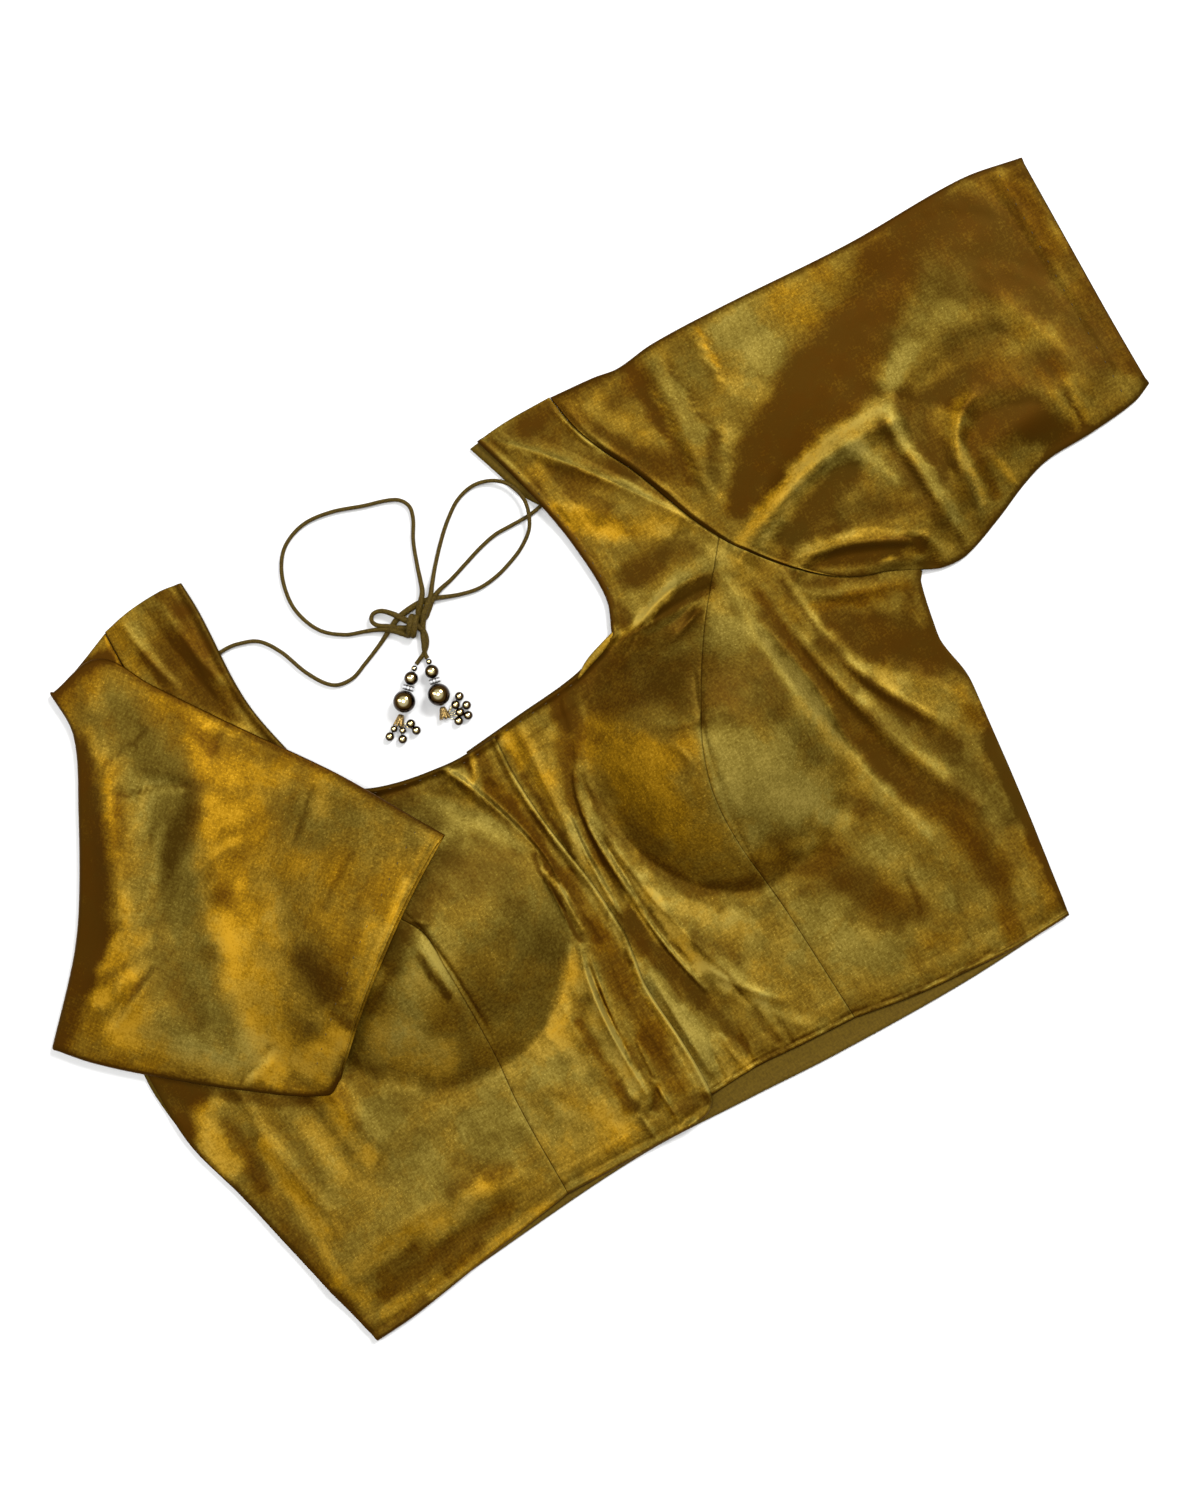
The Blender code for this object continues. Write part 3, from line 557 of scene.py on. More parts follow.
# Edge lines in plan. Fronts, back and sleeves share them, so that the pieces meet at their seams.
CLOTH = 1.2
SEAM_GAP = 0.3
LAYER = CLOTH + SEAM_GAP
LAP_EDGE_X = 5.0
UNDERLAP_EDGE_X = -12.0
SIDE_LEFT = [
    (210, 0), (221, 64), (229, 120), (230.5, 134.5), (228, 155), (229, 163), (235, 187), (240, 196),
]
SIDE_RIGHT = [(-211, 0), (-222.6, 54), (-232, 101), (-241, 140), (-240, 192)]
ARMHOLE_LEFT_LOW = [(158, 262), (165, 250), (182.5, 228), (194, 217), (203, 211), (218.5, 206), (240, 196)]
ARMHOLE_LEFT_HIGH = [(158, 262), (150, 280), (138, 315), (130, 332), (124, 349), (121, 370)]
ARMHOLE_RIGHT_LOW = [(-240, 192), (-220, 203), (-205, 211), (-184, 231), (-168, 252), (-161, 265)]
ARMHOLE_RIGHT_HIGH = [(-161, 265), (-155, 285), (-150, 305), (-146, 325), (-142, 345), (-139, 387)]
PRINCESS_LEFT = [(87.4, 12.8), (86, 84), (83, 126), (86, 156), (98.6, 186), (123, 221.5), (158, 262)]
PRINCESS_RIGHT = [(-87, 13), (-85, 65.5), (-80, 105), (-77, 146), (-79, 174), (-118, 222), (-161, 265)]
NECK_LEFT_SIDE = [(84, 248), (91.5, 266), (91.5, 297), (88, 323.5), (82.6, 349), (77, 370)]
NECK_LEFT_FRONT = [(UNDERLAP_EDGE_X, 236), (19.5, 238), (57, 240.6), (84, 248)]
NECK_RIGHT_SIDE = [(-84, 262), (-90.6, 286.5), (-95.4, 320), (-92, 370), (-92, 388)]
NECK_RIGHT_FRONT = [(-84, 262), (-64, 246), (-25, 236), (LAP_EDGE_X, 235)]
SHOULDER_LEFT = [(77, 370), (96, 371), (121, 370)]
SHOULDER_RIGHT = [(-139, 387), (-121, 390), (-103, 390), (-92, 388)]
UNDERLAP_EDGE = [(UNDERLAP_EDGE_X, 17), (UNDERLAP_EDGE_X, 236)]
LAP_EDGE = [
    (-14, 9.8), (-4, 11), (2.5, 16), (4.5, 27), (5, 48), (4, 84), (6.5, 98), (9, 112), (9, 124), (8, 146),
    (4, 182), (3.2, 212), (LAP_EDGE_X, 235),
]
HEM_LEFT_CENTRE = [(UNDERLAP_EDGE_X, 17), (28, 18), (54, 15.7), (87.4, 12.8)]
HEM_LEFT_SIDE = [(87.4, 12.8), (124, 5.7), (156, 2.2), (180, 0), (210, 0)]
HEM_RIGHT_CENTRE = [(-87, 13), (-46, 11), (-14, 9.8)]
HEM_RIGHT_SIDE = [(-211, 0), (-187.5, 1), (-138.6, 7), (-87, 13)]


def straight(a, b):
    return np.linspace(a, b, 40)


def fine(points):
    return smooth_line(points, 2.0)


def at_shares(line, shares):
    """Points at the given shares of a line's length."""
    reach = np.concatenate([[0], np.cumsum(np.linalg.norm(np.diff(line, axis=0), axis=1))])
    wanted = np.asarray(shares) * reach[-1]
    return np.stack([np.interp(wanted, reach, line[:, axis]) for axis in range(line.shape[1])], axis=-1)


def stops(length, step, first=True, last=True):
    """Shares along an edge: even steps, with close rows beside an end that is a cloth edge."""
    close = [0.0, 0.5, 1.2, 2.0, 2.6, 3.2]
    low = close if first else [0.0]
    high = [length - c for c in reversed(close)] if last else [length]
    start, end = low[-1], high[0]
    count = max(1, round((end - start) / step))
    inner = [start + (end - start) * i / count for i in range(1, count)]
    return np.array(low + inner + high) / length


def coons(start, end, under, top, u, v):
    """Plan points of the patch between four lines: u from start to end, v from under to top."""
    a, b = at_shares(start, v)[:, None], at_shares(end, v)[:, None]
    c, d = at_shares(under, u)[None], at_shares(top, u)[None]
    s, t = u[None, :, None], v[:, None, None]
    corners = (
        (1 - s) * (1 - t) * start[0] + s * (1 - t) * end[0] + (1 - s) * t * start[-1] + s * t * end[-1]
    )
    return a * (1 - s) + b * s + c * (1 - t) + d * t - corners


def add_grid(bm, points):
    """A grid of faces whose corners are moved to a table of points, row by row."""
    rows, columns = points.shape[:2]
    made = bmesh.ops.create_grid(bm, x_segments=columns - 1, y_segments=rows - 1, size=1.0)["verts"]
    for vertex in made:
        i = round((vertex.co.x + 1) / 2 * (columns - 1))
        j = round((vertex.co.y + 1) / 2 * (rows - 1))
        p = points[j, i]
        vertex.co = (p[0], p[1], p[2] if len(p) > 2 else 0.0)
    return made


# Folds of the front and the spread sleeve: soft ridges and troughs (below zero), each from start
# through bend to end, with the half widths of its left and right slopes and its height.
FOLDS = [
    # start x, y, bend x, y, end x, y, left, right, height
    # centre front, between the cups
    (-26, 234, -8, 196, -6, 162, 1.3, 6.0, 3.4),
    (-12, 214, -1, 190, -2, 140, 3.0, 3.0, -3.0),
    (-11, 158, -13, 140, -12.5, 121, 1.2, 1.2, -2.4),
    (-7, 160, -8, 142, -9, 126, 1.6, 1.8, 1.6),
    (-26, 234, -22, 226, -18, 217, 2.0, 1.6, 1.8),
    (-10, 233, -13, 226, -17, 219, 1.6, 2.0, 1.6),
    (-17, 236, -16, 230, -16, 226, 1.3, 1.3, -1.4),
    (18, 236, 14, 200, 10, 150, 4.0, 5.0, 2.4),
    (45, 238, 24, 205, 17, 158, 2.6, 3.2, -4.0),
    (46, 236, 36, 216, 30, 204, 1.8, 1.8, 1.4),
    (41, 226, 37, 215, 33, 204, 1.2, 1.6, -1.6),
    (30, 198, 17, 184, 22.5, 122, 4.5, 1.6, 3.6),
    (32, 196, 31, 188, 30, 180, 1.4, 1.6, -1.6),
    (24, 170, 25, 145, 24.5, 122, 1.0, 1.2, -1.6),
    (28, 165, 27, 140, 32, 112, 3.5, 2.0, 2.0),
    (16, 178, 11, 150, 12, 122, 1.8, 1.6, 2.0),
    (18, 172, 16, 150, 15, 124, 1.6, 1.6, -1.8),
    (-15, 118, -26, 92, -25, 36, 2.2, 3.4, 3.2),
    (-13, 112, -17, 92, -22, 66, 1.2, 1.4, 1.6),
    (-16, 108, -20, 90, -22, 60, 1.0, 1.2, -1.8),
    (-4, 116, -8, 84, -6, 40, 6.0, 5.0, -2.6),
    (-15, 62, -16, 52, -17, 42, 1.2, 1.4, 1.2),
    (-19, 41, -18, 30, -18, 15, 1.4, 1.8, 1.8),
    (-28, 27, -22, 28, -19, 37, 1.6, 1.8, -2.0),
    (-34, 28, -33, 20, -33, 14, 1.2, 1.6, 1.2),
    (-38, 100, -42, 76, -37, 44, 4.0, 7.0, 1.8),
    (9, 88, 8, 60, 9, 28, 5.0, 3.0, 2.2),
    (17, 120, 16, 90, 27, 42, 5.0, 4.5, -3.8),
    (22, 122, 22, 96, 29, 66, 1.3, 1.6, 2.4),
    (25, 120, 25, 100, 29.5, 82, 1.0, 1.0, -1.5),
    (33, 112, 36, 86, 50, 52, 7.0, 5.0, 3.0),
    (36, 74, 44, 58, 60, 40, 2.4, 3.0, 1.6),
    (42, 68, 43, 46, 47, 24, 1.6, 2.6, -1.6),
    (31, 40, 31, 30, 30, 19, 1.2, 1.6, -1.4),
    (15, 36, 14, 28, 13, 20, 1.4, 2.0, -1.2),
    (24, 44, 22, 32, 26, 19, 3.0, 3.0, 1.4),
    (52, 36, 53, 27, 53, 17, 1.2, 1.8, -1.2),
    # right cup, crease along the seam
    (-78, 177, -73, 148, -77, 106, 1.3, 3.4, -2.2),
    (-84, 176, -79, 150, -82, 124, 2.0, 3.0, 1.0),
    (-79, 177, -77, 175, -74, 172, 1.4, 1.4, 1.0),
    # left cup, puckers at the seam
    (108, 206, 87, 168, 84, 102, 1.2, 2.6, -1.3),
    (79, 196, 90, 187, 110, 186, 1.3, 2.2, 1.1),
    (79, 184, 84, 179, 83, 170, 1.2, 1.8, 0.9),
    (97, 96, 90, 92, 84, 84, 1.6, 2.2, -1.3),
    # left side front, drapes from the armhole
    (149, 240, 142, 190, 170, 72, 5.0, 8.0, 3.2),
    (161, 236, 158, 150, 186, 12, 5.0, 5.5, -4.0),
    (160.5, 246, 163, 160, 200, 72, 3.2, 4.6, 2.6),
    (174, 226, 173, 200, 178, 176, 1.2, 1.6, -1.8),
    (175.5, 230, 166, 176, 206, 120, 3.4, 3.6, 2.8),
    (177, 180, 182, 148, 206, 104, 3.0, 3.6, -2.2),
    (186, 204, 196, 176, 226, 148, 8.0, 6.0, -2.2),
    (180, 216, 190, 202, 228, 192, 4.0, 3.0, 1.3),
    (204, 150, 214, 136, 224, 118, 5.0, 5.0, 1.6),
    (98, 102, 122, 92, 142, 38, 5.0, 8.0, -3.0),
    (148, 62, 147, 48, 143, 34, 1.2, 3.0, -1.4),
    (168, 44, 165, 26, 160, 10, 1.2, 3.0, -1.2),
    (196, 74, 200, 40, 198, 8, 5.0, 6.0, 2.2),
    (128, 26, 127, 18, 126, 9, 1.4, 2.0, -1.0),
    (178, 22, 177, 12, 176, 3, 1.2, 2.0, -1.0),
    # left strap
    (84, 366, 112, 340, 150, 276, 2.6, 5.0, 2.4),
    (106, 356, 124, 338, 144, 302, 4.0, 4.0, -1.4),
    (86, 330, 104, 308, 142, 286, 9.0, 8.0, 2.2),
    (100, 268, 122, 266, 146, 270, 5.0, 6.0, -2.6),
    (98, 244, 120, 257, 150, 248, 2.6, 4.0, 2.6),
    (90, 243.5, 116, 243, 142, 242, 1.4, 1.6, -3.0),
    (100, 238, 116, 236, 132, 240, 1.6, 2.2, 1.2),
    (112, 230, 122, 232, 134, 238, 2.0, 2.2, -2.0),
    # spread sleeve
    (119, 364, 122, 350, 127, 334, 1.4, 1.6, 1.2),
    (129, 340, 136, 322, 150, 290, 2.4, 1.4, 1.2),
    (163.5, 366, 164, 326, 160, 282, 3.4, 1.6, -4.0),
    (172, 352, 170, 318, 163, 276, 4.4, 1.6, 2.8),
    (183, 356, 184, 326, 182, 290, 1.2, 2.2, -1.6),
    (202, 364, 201, 345, 199, 322, 1.2, 1.6, 1.4),
    (170, 264, 205, 300, 300, 334, 13.0, 6.0, -6.0),
    (290, 332, 336, 358, 372, 300, 10.0, 9.0, -1.8),
    (160, 246, 212, 276, 264, 266, 6.0, 7.0, 5.4),
    (266, 272, 300, 290, 330, 306, 9.0, 9.0, 1.6),
    (184, 236, 196, 264, 236, 262, 5.0, 7.0, -3.4),
    (236, 270, 246, 252, 250, 234, 5.0, 4.0, 1.4),
    (258, 262, 258, 236, 261, 206, 2.4, 2.0, -1.8),
    (180, 223, 196, 240, 246, 204, 2.6, 3.0, 3.0),
    (192, 226, 214, 216, 244, 204, 3.0, 3.4, -2.4),
    (242, 210, 247, 202, 246, 188, 1.6, 2.4, -3.4),
    (248, 208, 252, 200, 249, 190, 1.6, 1.8, 2.0),
    (262, 268, 261.5, 245, 263, 200, 3.4, 3.0, 2.6),
    (274, 280, 274, 240, 273, 206, 4.0, 3.0, -2.2),
    (284, 262, 300, 274, 336, 270, 9.0, 6.0, -2.4),
    (278, 201, 280, 248, 306, 255, 3.6, 3.4, 3.8),
    (304, 252, 330, 256, 350, 224, 8.0, 5.0, 0.7),
    (300, 236, 322, 240, 342, 210, 5.0, 8.0, -4.6),
    (293, 238, 292, 222, 291, 206, 2.4, 1.6, -1.6),
    (299, 224, 301, 214, 302, 206, 2.0, 2.0, 1.4),
    (349, 234, 350, 220, 349, 207, 1.0, 1.2, -1.8),
    (344, 296, 354, 272, 362, 234, 6.0, 8.0, 1.0),
    (374, 344, 374, 310, 378, 262, 1.2, 4.0, -1.0),
    # right side front, below the folded sleeve
    (-206, 150, -204, 110, -198, 70, 3.0, 8.0, 3.0),
    (-184, 150, -178, 120, -176, 88, 2.4, 4.0, -2.6),
    (-216, 150, -214, 110, -210, 60, 5.0, 3.0, -2.4),
    (-166, 134, -162, 108, -156, 84, 5.0, 8.0, 2.6),
    (-214, 34, -170, 56, -112, 34, 14.0, 8.0, 3.4),
    (-204, 14, -160, 22, -112, 16, 6.0, 5.0, -1.6),
    (-232, 166, -214, 150, -200, 120, 7.0, 8.0, -2.8),
    (-124, 52, -116, 50, -106, 54, 1.4, 2.4, 0.9),
    (-70, 70, -52, 44, -30, 30, 9.0, 9.0, 1.6),
    # right strap
    (-118, 388, -118, 352, -108, 318, 4.0, 5.0, -2.0),
    (-129, 386, -128, 362, -122, 345, 3.0, 3.4, 1.8),
    (-106, 388, -108, 360, -100, 330, 4.0, 5.0, 2.2),
]

CUPS = {
    "left": {"centre": (99, 169), "half": (65, 76), "lean": 12},
    "right": {"centre": (-81, 164), "half": (75, 77), "lean": 8},
}
CUP_HEIGHT = 28.0
LAP_LIFT = LAYER + 1.2
LAP_RUN = 34.0


def soft_step(value):
    value = np.clip(value, 0, 1)
    return value * value * (3 - 2 * value)


def cup_share(x, y, cup, spread=1.0):
    """0 outside a cup's rim and 1 at its highest point, with a crisp pad edge at the lower rim."""
    half = np.array(cup["half"]) * spread
    dx, dy = x - cup["centre"][0], y - cup["centre"][1]
    first = np.minimum(1, np.hypot(dx / half[0], dy / half[1]))
    dy = dy - cup["lean"] * (1 - first)
    reach = np.minimum(1, np.hypot(dx / half[0], dy / half[1]))
    soft = (1 - reach**2.4) ** 1.6
    crisp = 1 - reach**2.1
    lower = soft_step(0.5 - 0.75 * dy / np.maximum(np.hypot(dx, dy), 1e-6))
    return soft + (crisp - soft) * 0.5 * lower * (spread == 1.0)


def near_curve(x, y, line):
    """Distance to a line, share along it, and side: positive on the left of its direction."""
    best = np.full(x.shape, 1e9)
    share = np.zeros(x.shape)
    side = np.ones(x.shape)
    count = len(line) - 1
    for i, (a, b) in enumerate(zip(line, line[1:])):
        way = b - a
        t = np.clip(((x - a[0]) * way[0] + (y - a[1]) * way[1]) / (way @ way), 0, 1)
        dx, dy = x - a[0] - t * way[0], y - a[1] - t * way[1]
        distance = np.hypot(dx, dy)
        closer = distance < best
        best = np.where(closer, distance, best)
        share = np.where(closer, (i + t) / count, share)
        side = np.where(closer, np.sign(way[0] * dy - way[1] * dx), side)
    return best, share, side


def add_folds(x, y, folds):
    """The sum of the folds' heights, each fading towards its ends."""
    total = np.zeros(x.shape)
    for x0, y0, x1, y1, x2, y2, left, right, height in folds:
        reach = 3 * max(left, right)
        near = (
            (x > min(x0, x1, x2) - reach) & (x < max(x0, x1, x2) + reach)
            & (y > min(y0, y1, y2) - reach) & (y < max(y0, y1, y2) + reach)
        )
        if not near.any():
            continue
        t = np.linspace(0, 1, 13)[:, None]
        line = (1 - t) ** 2 * (x0, y0) + 2 * t * (1 - t) * np.array((x1, y1)) + t * t * (x2, y2)
        distance, share, side = near_curve(x[near], y[near], line)
        width = np.where(side > 0, left, right)
        fade = np.sqrt(np.sin(np.pi * (0.06 + 0.88 * share)))
        sharpness = 1.25 + 0.5 * soft_step((width - 3) / 9)
        total[near] += height * fade * np.exp(-((distance / width) ** sharpness))
    return total


def ripple(x, y, size, seed):
    """A gentle uneven ripple, -1 to 1, made of a few crossed waves."""
    value = np.zeros(x.shape)
    for i in range(5):
        angle = seed + 2.4 * i
        scale = 2 * np.pi / (size * (0.7 + 0.22 * i))
        value += np.sin(scale * (x * math.cos(angle) + y * math.sin(angle)) + seed * 3.1 * i)
    return value / 5


def front_height(x, y):
    """Underside of the front cloth and of the spread sleeve's upper layer."""
    domes = sum(CUP_HEIGHT * cup_share(x, y, cup) for cup in CUPS.values())
    folds = add_folds(x, y, FOLDS) + 0.35 * ripple(x, y, 46, 1.3) + 0.15 * ripple(x, y, 13, 0.4)
    return LAYER + 0.2 + np.maximum(-0.2, domes + folds + 0.3)


def lap_height(x, y):
    return front_height(x, y) + LAP_LIFT * soft_step((x - UNDERLAP_EDGE_X + LAP_RUN) / LAP_RUN)


SEAM_DIP = 0.28
SEAM_WIDTH = 1.0
HEM_ROUND = 0.6
HEM_TURN = 14.0
HEM_STEP = 0.3
ROLL = 0.8
ROLL_INSET = 1.6
ROLL_WIDTH = 1.5
BEHIND_ROLL = 5.0
GROOVE = 2.9
GROOVE_DEPTH = 0.9
UNDER_LAYER_DROP = 0.5


def bump_at(distance, place, width):
    """1 at a place across an edge, fading over a width on both sides."""
    return np.exp(-(((distance - place) / width) ** 2))


def seam_and_hem(x, y, seams, hems, doubled):
    """Cloth pulled down into its seams, rolled at its edges, turned at its hems or with a double edge."""
    lift = np.zeros(x.shape)
    for seam in seams:
        distance = near_curve(x, y, seam)[0]
        lift -= SEAM_DIP * np.exp(-((distance / SEAM_WIDTH) ** 1.3))
    for hem in hems:
        distance = near_curve(x, y, hem)[0]
        lift += HEM_STEP * soft_step((HEM_TURN - distance) / 2.5)
        lift += ROLL * bump_at(distance, ROLL_INSET, ROLL_WIDTH)
        lift -= 0.35 * bump_at(distance, BEHIND_ROLL, ROLL_WIDTH)
        lift -= HEM_ROUND * np.clip(1 - distance / 1.2, 0, 1) ** 2
    for edge in doubled:
        distance = near_curve(x, y, edge)[0]
        lift -= GROOVE_DEPTH * bump_at(distance, GROOVE, 0.6)
        lift -= UNDER_LAYER_DROP * soft_step((GROOVE - distance) / 0.6)
    return lift


